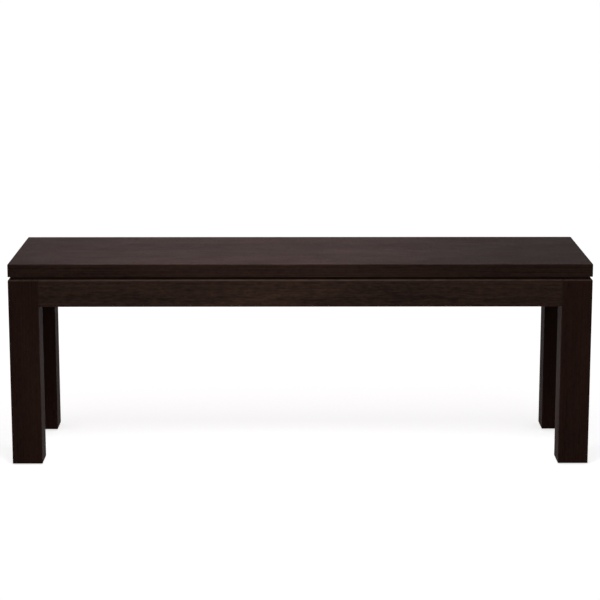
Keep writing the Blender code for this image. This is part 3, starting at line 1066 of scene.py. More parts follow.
@dataclass
class Seat(SubAssembly):
    """The seat: four boards glued edge to edge, with a rebate round the underside that makes the shadow gap.

    Args:
        boards: the node of each board of the front half, its heart, and that of its twin in the back half,
            which is the same board turned end for end.
        rebate, panel_rise: how far the rebate runs in from the seat's outside, and how deep it is.
        arris, lower_arris: the rounding of the seat's top and upright corners, and of its lower edge.
        screw_hole: the radius of the holes for the screws that hold it down.
    """

    boards: tuple[tuple[str, Span, Span], ...] = (
        ("seat_board_front", (18 * MM, -55 * MM), (34 * MM, -70 * MM)),
        ("seat_board_mid_front", (-27 * MM, 62 * MM), (-12 * MM, 48 * MM)),
    )
    rebate: float = 10 * MM
    panel_rise: float = 5.7 * MM
    arris: Arris = Arris(1.6 * MM, steps=4, rubbed=0.5)
    lower_arris: Arris = Arris(0.8 * MM, steps=2, rubbed=0.2)
    screw_hole: float = 2.7 * MM

    def build(self) -> None:
        """Models the two boards of the front half and turns copies of them to the back."""
        for node, *hearts in self.boards:
            moves = {node: STILL, node.replace("front", "back"): HALF_TURN}
            self.keep(self.board(node), SEAT_WOOD, moves, [Sawn(X, Z, heart) for heart in hearts])

    def board(self, node: str) -> Object:
        """Models one board: the slab, the raised panel under it, the eased outside edges and the screw holes.

        Args:
            node: the board's node.

        Returns:
            The board.
        """
        place = Place.of(node)
        outermost = node == self.boards[0][0]
        end, top, slab_bottom = place.high.x, place.high.z, place.low.z + self.panel_rise
        spare = (FRAME_GAP - HAIRLINE) / 2
        near = place.low.y if outermost else place.low.y - spare
        far = place.high.y + spare
        board = plank(node, place.spans[0], (near, far), (slab_bottom, top))

        # Cuts across the underside mark out the panel, which is then drawn down.
        panel_end, panel_front = end - self.rebate, near
        cuts = [(-panel_end * X, X), (panel_end * X, X)]
        if outermost:
            panel_front += self.rebate
            cuts.append((panel_front * Y, Y))

        def in_panel(centre: Vector, facing: Vector) -> bool:
            """Tells the middle of the underside from the rebate."""
            return facing.z < -STRAIGHT and abs(centre.x) < panel_end and centre.y > panel_front

        with editing(board):
            for spot, normal in cuts:
                pick(board, Part.FACES, lambda _, facing: facing.z < -STRAIGHT)
                bpy.ops.mesh.bisect(plane_co=spot, plane_no=normal)
            pick(board, Part.FACES, in_panel)
            draw_out((0, 0, -self.panel_rise))

        def outsides(middle: Vector) -> int:
            """Counts the outside faces of the seat that an edge lies on."""
            return (abs(middle.x) > end - NEAR) + (outermost and middle.y < near + NEAR)

        def top_or_corner(middle: Vector, _: Vector) -> bool:
            """Picks the top's outside edges and the seat's upright corners."""
            return outsides(middle) == 2 or (outsides(middle) == 1 and middle.z > top - NEAR)

        def lower_rim(middle: Vector, _: Vector) -> bool:
            """Picks the slab's lower outside edges."""
            return outsides(middle) > 0 and abs(middle.z - slab_bottom) < NEAR

        # The shadow gap's walls and ceiling are lightened fully: painted light where the gap is dark.
        paint_light_on(board, lambda centre, _: place.low.z + NEAR < centre.z < slab_bottom + NEAR)
        ease(board, self.arris, top_or_corner)
        ease(board, self.lower_arris, lower_rim)
        for screw in seat_screws().values():
            if near < screw.centre.y < far:
                tip = screw.high.z + self.screw_hole / 2
                hole = [(0, 0), (self.screw_hole, 0), (self.screw_hole, screw.high.z), (0, tip)]
                bore(board, hole, at(screw.foot), steps=16)
        return board


def seat_screws() -> dict[str, Place]:
    """The boxes of the screws that run up into the seat, by node."""
    return {node: Place.of(node) for node in sorted(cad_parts) if "_screw_" in node}


@dataclass(frozen=True)
class Tenon:
    """The tongue at the end of a bar.

    Args:
        thickness: its thickness.
        shoulder: how far it stays below and above the bar's edges.
        facets: how many facets each of its rounded edges has.
    """

    thickness: float
    shoulder: float
    facets: int = 6


@dataclass(frozen=True)
class Joinery:
    """The sizes that pieces of the frame share where they meet.

    Args:
        tenon, rail_tenon: an apron's tenon and the centre rail's.
        fit: the clearance round a tenon, a tongue or a block's end.
        block: the thickness of a corner block.
        tongue: the width of the tongue that hooks it to an apron.
        tongue_setback: how far the tongue stands from the block's edge nearest the leg.
        kerf, kerf_depth: the width and the depth of the saw kerf that takes the tongue.
        slot: the length, height and depth of an apron's slot for a seat button.
    """

    tenon: Tenon = Tenon(thickness=10 * MM, shoulder=10 * MM)
    rail_tenon: Tenon = Tenon(thickness=8 * MM, shoulder=9 * MM)
    fit: float = 0.1 * MM
    block: float = 20 * MM
    tongue: float = 5 * MM
    tongue_setback: float = 8 * MM
    kerf: float = 5.6 * MM
    kerf_depth: float = 8 * MM
    slot: Triple = (46 * MM, 9 * MM, 11 * MM)

    @property
    def apron(self) -> float:
        """The thickness of an apron."""
        return Place.of("apron_front").size.y

    @property
    def block_far(self) -> float:
        """The sum of the distances, along both sides, from the leg's outer corner to a block's inner face."""
        first = CORNERS[0]
        return first.place("corner_block_").high.x - first.outer.x + self.apron + FRAME_GAP

    @property
    def block_near(self) -> float:
        """The same sum for the face that looks at the leg."""
        return self.block_far - self.block * math.sqrt(2)

    @property
    def tongue_start(self) -> float:
        """How far a tongue lies from the leg's outer corner, along the apron."""
        return self.block_near - self.apron - FRAME_GAP + self.tongue_setback

    def draw_tenons(self, bar: Object, place: Place, run: Run, shoulder: float, tenon: Tenon) -> None:
        """Draws a round-ended tenon out of each squared end of a bar.

        Args:
            bar: the bar.
            place: the box that it fills with its tenons.
            run: which way it runs.
            shoulder: how far from the middle of the bench its squared ends are.
            tenon: the tenon.
        """
        share = Vector((1, 1, 1 - 2 * tenon.shoulder / place.size.z))
        share[run.sideways] = tenon.thickness / place.size[run.sideways]
        axis = (X, Y)[run]
        for outwards in (-axis, axis):
            middle = place.centre
            middle[run] = outwards[run] * shoulder
            with editing(bar):
                pick(bar, Part.FACES, lambda centre, _: centre.dot(outwards) > shoulder - NEAR)
                draw_out((0, 0, 0))
                bpy.ops.transform.resize(value=share, center_override=middle)
                draw_out(outwards * (place.high[run] - shoulder))

            def along_tenon(spot: Vector, direction: Vector) -> bool:
                """Picks the tenon's four long edges."""
                return abs(direction[run]) > STRAIGHT and spot.dot(outwards) > shoulder

            ease(bar, Arris(tenon.thickness / 2 - NEAR, tenon.facets), along_tenon)

    def cut_mortise(self, thing: Object, bar: Place, run: Run, mouth: float, tenon: Tenon) -> None:
        """Cuts the round-ended mortise that takes a bar's tenon.

        Args:
            thing: the piece that is cut.
            bar: the box that the bar fills with its tenons.
            run: which way the bar runs.
            mouth: where the mortise comes out, on that axis.
            tenon: the tenon.
        """
        thickness, inset = tenon.thickness + 2 * self.fit, tenon.shoulder - self.fit
        upright = (bar.low.z + inset, bar.high.z - inset)
        along = (bar.low[run] - self.fit, mouth + PAST)
        cutter = plank("mortise", along, about(bar.centre[run.sideways], thickness), upright, run)
        rounding = Arris(thickness / 2 - NEAR, tenon.facets)
        ease(cutter, rounding, lambda _, direction: abs(direction[run]) > STRAIGHT)
        shape_with(thing, cutter)


@dataclass
class Legs(SubAssembly):
    """The four legs: square, with eased arrises, mortises for two aprons and a flat for the hanger bolt.

    Args:
        joinery: the shared sizes.
        arris, top_arris: the rounding of the upright edges and of the top edges; the top edges are lightened
            fully, a painted highlight.
        foot_chamfer: the chamfer round the foot, which keeps it from splintering.
        flat: how far the flat across the inner corner is cut in along each face.
        bolt_hole, nail_hole: the radius of the holes for the hanger bolt and for the glide's nail.
        hearts: how far across each leg its tree's heart lay, so that no two legs look alike.
        heart_depth: how far behind the leg's outer face it lay.
    """

    joinery: Joinery = Joinery()
    arris: Arris = Arris(1.2 * MM, steps=3)
    top_arris: Arris = Arris(3.0 * MM, steps=4, rubbed=1.0)
    foot_chamfer: Arris = Arris(1.0 * MM, steps=2)
    flat: float = 14 * MM
    bolt_hole: float = 4.2 * MM
    nail_hole: float = 1.4 * MM
    hearts: tuple[float, ...] = (55 * MM, -48 * MM, -62 * MM, 51 * MM)
    heart_depth: float = 50 * MM

    def build(self) -> None:
        """Models the first leg and turns copies of it to the other corners."""
        moves = {"leg_" + corner.name: corner.from_first for corner in CORNERS}
        sawn = [Sawn(Z, Y * corner.side.value, (heart, self.heart_depth))
                for corner, heart in zip(CORNERS, self.hearts)]
        self.keep(self.leg(), LEG_WOOD, moves, sawn)

    def leg(self) -> Object:
        """Models the first leg.

        Returns:
            The leg.
        """
        corner, joint = CORNERS[0], self.joinery
        place = corner.place("leg_")
        low, high = place.low.z, place.high.z

        def upright_edge(middle: Vector, direction: Vector) -> bool:
            """Picks the upright edges, but none of the foot chamfer's."""
            return abs(direction.z) > STRAIGHT and middle.z > place.centre.z / 2

        leg = plank("leg", *place.spans)
        # The top face is lightened fully, painted light in the shadow gap, and the top arris more than the
        # rest, a painted highlight.
        paint_light_on(leg, lambda centre, _: centre.z > high - NEAR)
        ease(leg, self.top_arris, lambda middle, _: middle.z > high - NEAR)
        ease(leg, self.foot_chamfer, lambda middle, _: middle.z < low + NEAR)
        ease(leg, self.arris, upright_edge)
        for run, node in zip(Run, ("apron_front", "apron_left")):
            joint.cut_mortise(leg, Place.of(node), run, place.high[run], joint.tenon)

        # The flat is only as tall as the aprons.
        shelf, past, cut = Place.of("apron_front").low.z, place.size.x + PAST, 2 * place.size.x - self.flat
        outline = [(past, cut - past, shelf), (past, past, shelf), (cut - past, past, shelf)]
        flat = extruded("flat", outline, (0, 0, high - shelf + PAST))
        shape_with(leg, moved(flat, at(corner.outer)))

        bolt, nail = corner.place("hanger_bolt_"), corner.place("glide_nail_")
        tip = at((bolt.low.x, bolt.low.y, bolt.centre.z))
        bore(leg, straight_bore(self.bolt_hole, 0, place.size.x), tip @ corner.across)
        bore(leg, straight_bore(self.nail_hole, 0, nail.high.z), at(nail.foot), steps=12)
        return leg


@dataclass
class Aprons(SubAssembly):
    """The four aprons and the rail across the middle, with their tenons, kerfs, mortises and button slots.

    Args:
        joinery: the shared sizes.
        arris: the rounding of the long edges.
        top_arris: the rounding of the upper outside edge under the shadow gap, lightened fully as a painted
            highlight.
        heart, end_heart, rail_heart: the heart of a long apron's tree, of a short one's and of the rail's.
    """

    joinery: Joinery = Joinery()
    arris: Arris = Arris(1.2 * MM, steps=3)
    top_arris: Arris = Arris(3.0 * MM, steps=4, rubbed=1.0)
    heart: Span = (4 * MM, 46 * MM)
    end_heart: Span = (7 * MM, 52 * MM)
    rail_heart: Span = (30 * MM, 20 * MM)

    def build(self) -> None:
        """Models the front and the left apron, turns copies of them to the other sides, and adds the rail."""
        front, left = self.front_apron(), self.apron("apron_left", Run.CROSSWISE)
        pairs = ((Side, front, X, Y, self.heart), (Hand, left, Y, X, self.end_heart))
        for ends, model, along, outwards, (sideways, behind) in pairs:
            moves = {"apron_" + end.name.lower(): turn for end, turn in zip(ends, (STILL, HALF_TURN))}
            sawn = [Sawn(along, outwards * end.value, (sideways * end.value, behind)) for end in ends]
            self.keep(model, FRAME_WOOD, moves, sawn)
        self.keep(self.rail(), FRAME_WOOD, {"centre_rail": STILL}, [Sawn(Y, X, self.rail_heart)])

    def bar(self, node: str, run: Run, shoulder: float, tenon: Tenon) -> Object:
        """Models a bar with a tenon at each end and eased long edges.

        Args:
            node: its node.
            run: which way it runs.
            shoulder: how far from the middle of the bench its shoulders are.
            tenon: its tenon.

        Returns:
            The bar.
        """
        place = Place.of(node)
        bar = plank(node, (-shoulder, shoulder), place.spans[run.sideways], place.spans[2], run)
        self.joinery.draw_tenons(bar, place, run, shoulder, tenon)

        def long_edge(middle: Vector, direction: Vector) -> bool:
            """Picks the long edges between the shoulders."""
            at_edge = abs(abs(middle.z - place.centre.z) - place.size.z / 2) < NEAR
            return abs(direction[run]) > STRAIGHT and abs(middle[run]) < shoulder and at_edge

        def upper_outside(middle: Vector, direction: Vector) -> bool:
            """Picks an apron's upper outside edge. The rail is on the middle line and has none."""
            edge = min(place.low[run.sideways] + NEAR, -place.size[run.sideways])
            return long_edge(middle, direction) and middle.z > place.centre.z and middle[run.sideways] < edge

        # The top face is lightened fully, painted light in the shadow gap, and the upper outside arris as a
        # painted highlight.
        paint_light_on(bar, lambda centre, _: centre.z > place.high.z - NEAR)
        ease(bar, self.top_arris, upper_outside)
        ease(bar, self.arris, long_edge)
        return bar

    def apron(self, node: str, run: Run) -> Object:
        """Models an apron with its tenons and the kerfs for the corner blocks' tongues.

        Args:
            node: its node.
            run: which way it runs.

        Returns:
            The apron.
        """
        joint, place, leg = self.joinery, Place.of(node), CORNERS[0].place("leg_")
        apron = self.bar(node, run, -leg.high[run] - HAIRLINE, joint.tenon)
        inner = place.high[run.sideways]
        across, upright = (inner - joint.kerf_depth, inner + PAST), (place.low.z - PAST, place.high.z + PAST)
        start = leg.low[run] + joint.tongue_start - FRAME_GAP
        for along in ((start, start + joint.kerf), (-start - joint.kerf, -start)):
            shape_with(apron, plank("kerf", along, across, upright, run))
        return apron

    def front_apron(self) -> Object:
        """Models the front apron, with the mortise for the centre rail and the slots for two seat buttons.

        Returns:
            The apron.
        """
        joint, apron = self.joinery, self.apron("apron_front", Run.LENGTHWISE)
        inner = Place.of("apron_front").high.y
        joint.cut_mortise(apron, Place.of("centre_rail"), Run.CROSSWISE, inner, joint.rail_tenon)
        length, height, depth = joint.slot
        for hand in Hand:
            button = Corner(Side.FRONT, hand).place("button_")
            bottom = button.low.z - FRAME_GAP
            along, upright = about(button.centre.x, length), (bottom, bottom + height)
            shape_with(apron, plank("button_slot", along, (inner - depth, inner + PAST), upright))
        return apron

    def rail(self) -> Object:
        """Models the rail across the middle, with its two screw holes.

        Returns:
            The rail.
        """
        shoulder = -Place.of("apron_front").high.y - HAIRLINE
        rail = self.bar("centre_rail", Run.CROSSWISE, shoulder, self.joinery.rail_tenon)
        for side in Side:
            screw = Place.of("rail_screw_" + side.name.lower())
            bore_for_screw(rail, screw, Place.of("centre_rail").low.z)
        return rail


@dataclass
class CornerBlocks(SubAssembly):
    """The blocks across the corners, hooked into the aprons.

    Args:
        joinery: the shared sizes.
        arris: the rounding of their edges.
        bolt_hole: the radius of the hole for the hanger bolt.
        heart: the heart of each block's tree.
    """

    joinery: Joinery = Joinery()
    arris: Arris = Arris(0.7 * MM, steps=2)
    bolt_hole: float = 4.3 * MM
    heart: Span = (20 * MM, 35 * MM)

    def build(self) -> None:
        """Models the first block, turns copies of it to the other corners and bores their screw holes."""
        moves = {"corner_block_" + corner.name: corner.from_first for corner in CORNERS}
        sawn = [Sawn(corner.inwards.cross(Z), corner.inwards, self.heart) for corner in CORNERS]
        self.keep(self.block(), BLOCK_WOOD, moves, sawn)
        for corner, piece in zip(CORNERS, self.pieces):
            bore_for_screw(piece.thing, corner.place("block_screw_"), Place.of(piece.node).low.z)

    def block(self) -> Object:
        """Models the first block, without its screw hole.

        Returns:
            The block.
        """
        corner, joint = CORNERS[0], self.joinery
        place = corner.place("corner_block_")
        end_line, tip = joint.apron + joint.fit, place.low.x - corner.outer.x
        start, stop = joint.tongue_start, joint.tongue_start + joint.tongue
        half = [(joint.block_near - end_line, end_line), (start, end_line), (start, tip), (stop, tip),
                (stop, end_line), (joint.block_far - end_line, end_line)]
        outline = [(u, v, place.low.z) for u, v in half + [(v, u) for u, v in reversed(half)]]
        block = moved(extruded("block", outline, (0, 0, place.size.z)), at(corner.outer))
        ease(block, self.arris, everywhere)

        # What is a sum along both sides is shorter straight across the corner, by the square root of 2.
        depth = (joint.block_near + joint.block_far) / 2 / math.sqrt(2)
        middle = corner.outer + corner.inwards * depth
        middle.z = corner.place("hanger_bolt_").centre.z
        bore(block, straight_bore(self.bolt_hole, -joint.block, joint.block), at(middle) @ corner.across)
        return block


@dataclass
class SeatButtons(SubAssembly):
    """The wooden buttons that hold the seat to the long aprons and let it move.

    Args:
        reach: how far the thick part stands from the apron.
        tongue: the thickness of the tongue in the apron's slot.
        arris: the rounding of its edges.
        heart: the heart of each button's tree.
    """

    reach: float = 28 * MM
    tongue: float = 8.4 * MM
    arris: Arris = Arris(0.7 * MM, steps=2)
    heart: Span = (12 * MM, 30 * MM)

    def build(self) -> None:
        """Models the first button and moves copies of it to the others' places."""
        first = CORNERS[0].place("button_")
        moves = {}
        for corner in CORNERS:
            turn = HALF_TURN if corner.side is Side.BACK else STILL
            moves["button_" + corner.name] = at(corner.place("button_").foot) @ turn @ at(-first.foot)
        self.keep(self.button(first), BLOCK_WOOD, moves, [Sawn(Y, Z, self.heart)] * len(moves))

    def button(self, place: Place) -> Object:
        """Models the first button, with its screw hole.

        Args:
            place: its box.

        Returns:
            The button.
        """
        (left, _), (tip, back), (bottom, top) = place.spans
        step, face = bottom + self.tongue, back - self.reach
        profile = [(tip, bottom), (back, bottom), (back, top), (face, top), (face, step), (tip, step)]
        button = extruded("button", [(left, y, z) for y, z in profile], (place.size.x, 0, 0))
        ease(button, self.arris, everywhere)
        bore_for_screw(button, CORNERS[0].place("button_screw_"), bottom)
        return button


@dataclass(frozen=True)
class Thread:
    """A screw thread round a shank.

    Args:
        start, end: the heights where it starts and ends.
        pitch, depth: the rise in one turn, and how deep it is cut below the shank's outside.
        sharpness: 1 is an even V. A higher value leaves a wider root and a thinner crest.
    """

    start: float
    end: float
    pitch: float
    depth: float
    sharpness: float = 1.0

    def cut_at(self, angle: float, height: float) -> float:
        """How far the surface lies below the shank's outside.

        Args:
            angle: the angle round the shank.
            height: the height along it.

        Returns:
            The depth in metres, which runs out at both ends of the thread.
        """
        if not self.start < height < self.end:
            return 0.0
        phase = (height / self.pitch - angle / TURN) % 1.0
        ridge = (1 - abs(2 * phase - 1)) ** self.sharpness
        fade = min(1.0, (height - self.start) / self.pitch, (self.end - height) / self.pitch)
        return self.depth * (1 - ridge) * fade


def threaded(name: str, profile: Line, threads: Sequence[Thread], around: int, rows: int) -> Object:
    """A threaded shank, rolled from a flat grid whose rows follow the profile.

    Args:
        name: the object's name.
        profile: radius and height of each corner, from one end on the axis to the other.
        threads: the threads that are cut in it.
        around: how many sides it has.
        rows: how many rows of points a turn of thread gets.

    Returns:
        The closed shank along the Z axis.
    """
    cuts: set[float] = set()
    for thread in threads:
        count = round((thread.end - thread.start) / thread.pitch * rows)
        cuts |= {thread.start + (thread.end - thread.start) * k / count for k in range(count + 1)}
    rings = [profile[0]]
    for (start_radius, start), (end_radius, end) in zip(profile, profile[1:]):
        slope = (end_radius - start_radius) / (end - start) if end > start else 0.0
        rings += [(start_radius + slope * (cut - start), cut) for cut in sorted(cuts) if start < cut < end]
        rings.append((end_radius, end))

    bpy.ops.object.select_all(action="DESELECT")
    bpy.ops.mesh.primitive_grid_add(x_subdivisions=around, y_subdivisions=len(rings) - 1, size=1)
    made = settle(bpy.context.object, name)

    # The grid's columns go round the shank and its rows go up it. Both run from -0.5 to 0.5.
    for point in made.data.vertices:
        column = round((point.co.x + 0.5) * around)
        radius, height = rings[round((point.co.y + 0.5) * (len(rings) - 1))]
        angle = column % around * TURN / around
        if radius > 0:
            radius -= sum(thread.cut_at(angle, height) for thread in threads)
        point.co = (radius * math.cos(angle), radius * math.sin(angle), height)
    return closed_up(made)


@dataclass
class Screws(SubAssembly):
    """The countersunk cross-headed screws that hold the seat down.

    Args:
        radius: the shank's radius over its thread.
        head, head_height, rim: the head's radius, its height and the height of its edge.
        point: the length of the point.
        plain: the share of the length that has no thread.
        pitch, depth: the thread.
        recess, recess_width, recess_depth: how far each arm of the cross reaches, its width and its depth.
        recess_taper: the shares of its length and width that an arm keeps at its bottom.
    """

    radius: float = 2.4 * MM
    head: float = 4.6 * MM
    head_height: float = 2.8 * MM
    rim: float = 0.35 * MM
    point: float = 5 * MM
    plain: float = 0.22
    pitch: float = 1.8 * MM
    depth: float = 0.75 * MM
    recess: float = 2.4 * MM
    recess_width: float = 0.9 * MM
    recess_depth: float = 1.9 * MM
    recess_taper: Span = (0.35, 0.8)

    def build(self) -> None:
        """Models one screw of each length and moves copies of it to their places."""
        moves: dict[float, dict[str, Matrix]] = {}

        # Screws whose lengths agree to a hundredth of a millimetre are copies of one.
        for node, place in seat_screws().items():
            same_length = moves.setdefault(round(place.size.z, 5), {})
            same_length[node] = at(place.foot + Z * place.low.z)
        for length, same_length in moves.items():
            self.keep(self.screw(length), STEEL, same_length)

    def screw(self, length: float) -> Object:
        """Models a screw with its head down.

        Args:
            length: its whole length.

        Returns:
            The screw, with its head's face at height 0.
        """
        profile = [(0, 0), (self.head - self.rim, 0), (self.head, self.rim), (self.radius, self.head_height),
                   (self.radius, length - self.point), (0, length)]
        start = self.head_height + self.plain * length
        thread = Thread(start, length - self.point / 4, self.pitch, self.depth, WOOD_THREAD)
        screw = threaded("screw", profile, [thread], around=20, rows=6)
        bottom = self.recess_depth
        for turn in (0, TURN / 4):
            spans = about(0, 2 * self.recess), about(0, self.recess_width), (-bottom / 8, bottom)
            arm = plank("cross", *spans)
            with editing(arm):
                pick(arm, Part.FACES, lambda _, facing: facing.z > STRAIGHT)
                bpy.ops.transform.resize(value=(*self.recess_taper, 1), center_override=(0, 0, bottom))
            shape_with(screw, moved(arm, Matrix.Rotation(turn, 4, "Z")))
        return screw


@dataclass
class HangerBolts(SubAssembly):
    """The bolts that draw the legs to the corner blocks, each with a washer and a nut.

    Args:
        radius: the bolt's radius over its thread.
        in_leg: how far it is screwed into the leg.
        point: the length of its point.
        plain: how much of it is plain inside the leg.
        end_chamfer: the chamfer at its outer end.
        past_nut: how far it stands out of the nut.
        machine_pitch, machine_depth: the nut's thread.
        wood_pitch, wood_depth: the thread in the leg.
        washer, washer_thickness: the washer's radius and its thickness.
        washer_play: the clearance in its hole.
        washer_edge: the rounded edge that stamping leaves on one side.
        across_flats, nut_thickness: the nut's width over its flats and its thickness.
        nut_face: how far its round face stays inside its flats.
        nut_chamfer: the slope of its chamfer, in degrees.
        sink: the depth of the countersinks in its hole.
    """

    radius: float = 4 * MM
    in_leg: float = 38 * MM
    point: float = 6 * MM
    plain: float = 2 * MM
    end_chamfer: float = 0.8 * MM
    past_nut: float = 5 * MM
    machine_pitch: float = 1.25 * MM
    machine_depth: float = 0.7 * MM
    wood_pitch: float = 3.2 * MM
    wood_depth: float = 1.1 * MM
    washer: float = 12 * MM
    washer_thickness: float = 1.6 * MM
    washer_play: float = 0.3 * MM
    washer_edge: float = 0.35 * MM
    across_flats: float = 13 * MM
    nut_thickness: float = 6.5 * MM
    nut_face: float = 0.3 * MM
    nut_chamfer: float = 30.0
    sink: float = 0.7 * MM

    def build(self) -> None:
        """Models one bolt, washer and nut, and moves copies of them to the corners."""
        flats = [self.leg_flat(corner) for corner in CORNERS]
        nuts = [corner.place("hex_nut_").centre for corner in CORNERS]
        washers = [corner.place("washer_").centre for corner in CORNERS]
        bolt = self.bolt((nuts[0] - flats[0]).length)
        sets = (("hanger_bolt_", bolt, flats), ("washer_", self.washer_ring(), washers),
                ("hex_nut_", self.nut(), nuts))
        for words, model, spots in sets:
            moves = {words + corner.name: at(spot) @ corner.across for spot, corner in zip(spots, CORNERS)}
            self.keep(model, STEEL, moves)

    def leg_flat(self, corner: Corner) -> Vector:
        """The point where the bolt's axis leaves the leg: its length in the leg away from its point."""
        bolt = corner.place("hanger_bolt_")
        return corner.outermost(bolt) + Z * bolt.centre.z + corner.inwards * self.in_leg

    def bolt(self, nut_middle: float) -> Object:
        """Models a bolt, with the leg's flat at height 0.

        Args:
            nut_middle: how far the middle of the nut is from the leg's flat.

        Returns:
            The bolt.
        """
        end = nut_middle + self.nut_thickness / 2 + self.past_nut
        profile = [(0, -self.in_leg), (self.radius, self.point - self.in_leg),
                   (self.radius, end - self.end_chamfer), (self.radius - self.end_chamfer, end), (0, end)]
        start = self.point / 2 - self.in_leg
        wood = Thread(start, -self.plain, self.wood_pitch, self.wood_depth, WOOD_THREAD)
        start, stop = nut_middle - 2 * self.nut_thickness, end + self.machine_pitch
        machine = Thread(start, stop, self.machine_pitch, self.machine_depth)
        return threaded("bolt", profile, [wood, machine], around=28, rows=8)

    def washer_ring(self) -> Object:
        """Models a washer about its own middle.

        Returns:
            The washer.
        """
        half, hole = self.washer_thickness / 2, self.radius + self.washer_play
        rim, edge = self.washer, self.washer_edge
        profile = [(hole, -half), (rim, -half), (rim, half - edge), (rim - edge / 3, half - edge / 3),
                   (rim - edge, half), (hole, half)]
        return turned("washer", profile, steps=48)

    def nut(self) -> Object:
        """Models a nut about its own middle: a hexagon turned off at both ends, with a countersunk hole.

        Returns:
            The nut.
        """
        half, corner = self.nut_thickness / 2, self.across_flats / math.sqrt(3)
        bpy.ops.object.select_all(action="DESELECT")
        bpy.ops.mesh.primitive_cylinder_add(vertices=6, radius=corner, depth=self.nut_thickness)
        nut = moved(bpy.context.object, Matrix.Rotation(TURN / 12, 4, "Z"))
        slope = math.tan(math.radians(self.nut_chamfer))
        face, wide = self.across_flats / 2 - self.nut_face, corner + self.nut_face
        apex, rise = half + slope * face, half - slope * (wide - face)
        cones = turned("cones", [(0, -apex), (wide, -rise), (wide, rise), (0, apex)], steps=48)
        shape_with(nut, cones, Cut.KEEP_COMMON)
        hole, sink = self.radius + HAIRLINE, self.sink
        mouth, inner, outer = hole + 2 * sink, half - sink, half + sink
        profile = [(0, -outer), (mouth, -outer), (hole, -inner), (hole, inner), (mouth, outer), (0, outer)]
        bore(nut, profile, STILL, steps=32)
        return nut


@dataclass
class Glides(SubAssembly):
    """The nylon glides under the legs, each with its nail.

    Args:
        radius: the glide's radius.
        edge, break_edge: the rounding of its lower edge, and the small chamfer on its other edges.
        recess, recess_depth: the radius of the recess for the nail's head, and its depth above that head.
        nail, nail_play: the nail's radius and the clearance round it.
        nail_head, nail_head_height: its head's radius and height.
        nail_point: the length of its point.
    """

    radius: float = 11 * MM
    edge: float = 0.9 * MM
    break_edge: float = 0.2 * MM
    recess: float = 3.6 * MM
    recess_depth: float = 1.1 * MM
    nail: float = 1.3 * MM
    nail_play: float = 0.1 * MM
    nail_head: float = 3.2 * MM
    nail_head_height: float = 0.8 * MM
    nail_point: float = 3 * MM

    def build(self) -> None:
        """Models one glide and one nail, and moves copies of them under the legs."""
        disc, nail = CORNERS[0].place("glide_"), CORNERS[0].place("glide_nail_")
        glide, spike = self.disc(disc.high.z, nail.low.z), self.spike(nail)
        for words, model, finish in (("glide_", glide, NYLON), ("glide_nail_", spike, STEEL)):
            moves = {words + corner.name: at(corner.place("glide_").foot) for corner in CORNERS}
            self.keep(model, finish, moves)

    def disc(self, top: float, nail_bottom: float) -> Object:
        """Models a glide, with a rounded lower edge and a recess for the nail's head.

        Args:
            top: the height of its upper face.
            nail_bottom: the height of the nail's head.

        Returns:
            The glide.
        """
        hole, floor = self.nail + self.nail_play, nail_bottom + self.recess_depth
        inset, cut = self.radius - self.edge, self.break_edge
        rounding = [(inset + self.edge * out, self.edge * up) for out, up in quarter_round(steps=4)]
        profile = [(self.recess + cut, 0), *rounding, (self.radius, top - cut), (self.radius - cut, top),
                   (hole, top), (hole, floor), (self.recess, floor), (self.recess, cut)]
        return turned("glide", profile, steps=40)

    def spike(self, place: Place) -> Object:
        """Models a nail with a low domed head.

        Args:
            place: the nail's box.

        Returns:
            The nail.
        """
        bottom, top = place.low.z, place.high.z
        rise, neck = self.nail_head_height / 2, bottom + self.nail_head_height
        dome = [(self.nail_head * out, bottom + rise * up) for out, up in quarter_round(steps=6)]
        profile = [*dome, (self.nail_head, neck), (self.nail, neck), (self.nail, top - self.nail_point),
                   (0, top)]
        return turned("nail", profile, steps=24)


@dataclass(frozen=True)
class Lamp:
    """A soft lamp.

    Args:
        name: its name.
        kind: what kind of lamp it is.
        power: its strength, which is in watts for a panel.
        place: where it hangs.
        target: the point that it looks at.
        colour: its colour.
        spread: how wide an even light looks, or how wide a panel's light fans out, in degrees.
        size: a panel's width and height in metres.
    """

    name: str
    kind: Light
    power: float
    place: Triple
    target: Triple = (0.0, 0.0, 0.0)
    colour: Colour = WHITE
    spread: float = 45
    size: Span = (1.0, 1.0)

    def hang(self) -> None:
        """Hangs the lamp and aims it."""
        lamp = bpy.data.lights.new(self.name, self.kind.value)
        lamp.energy, lamp.color = self.power, self.colour
        if self.kind is Light.EVEN:
            lamp.angle = math.radians(self.spread)
        else:
            lamp.shape = "RECTANGLE"
            lamp.size, lamp.size_y = self.size
            lamp.spread = math.radians(self.spread)
        held = bpy.data.objects.new(self.name, lamp)
        bpy.context.scene.collection.objects.link(held)
        held.location = self.place
        held.rotation_euler = (Vector(self.target) - Vector(self.place)).to_track_quat("-Z", "Y").to_euler()


ROSY = (1.0, 0.60, 0.62)
LAMPS = (
    Lamp("high_light", Light.EVEN, power=0.16, place=(-0.4, -1.6, 3.0)),
    # From low in front, into the shadow gap
    Lamp("fill", Light.EVEN, power=0.32, place=(0.2, -3.0, 0.8)),
    Lamp("back_fill", Light.EVEN, power=0.12, place=(0.8, 3.0, 1.6), colour=ROSY),
    Lamp("softbox", Light.PANEL, power=4.6, place=(-0.06, -0.8, 1.2), target=(-0.03, -0.1, 0.4),
         spread=105, size=(0.7, 0.4)),
    # From behind, for the sheen on the seat
    Lamp("back_light", Light.PANEL, power=5.0, place=(-0.25, 2.2, 1.28), target=(-0.1, 0, 0.45),
         colour=ROSY, spread=180, size=(1.3, 0.6)),
)


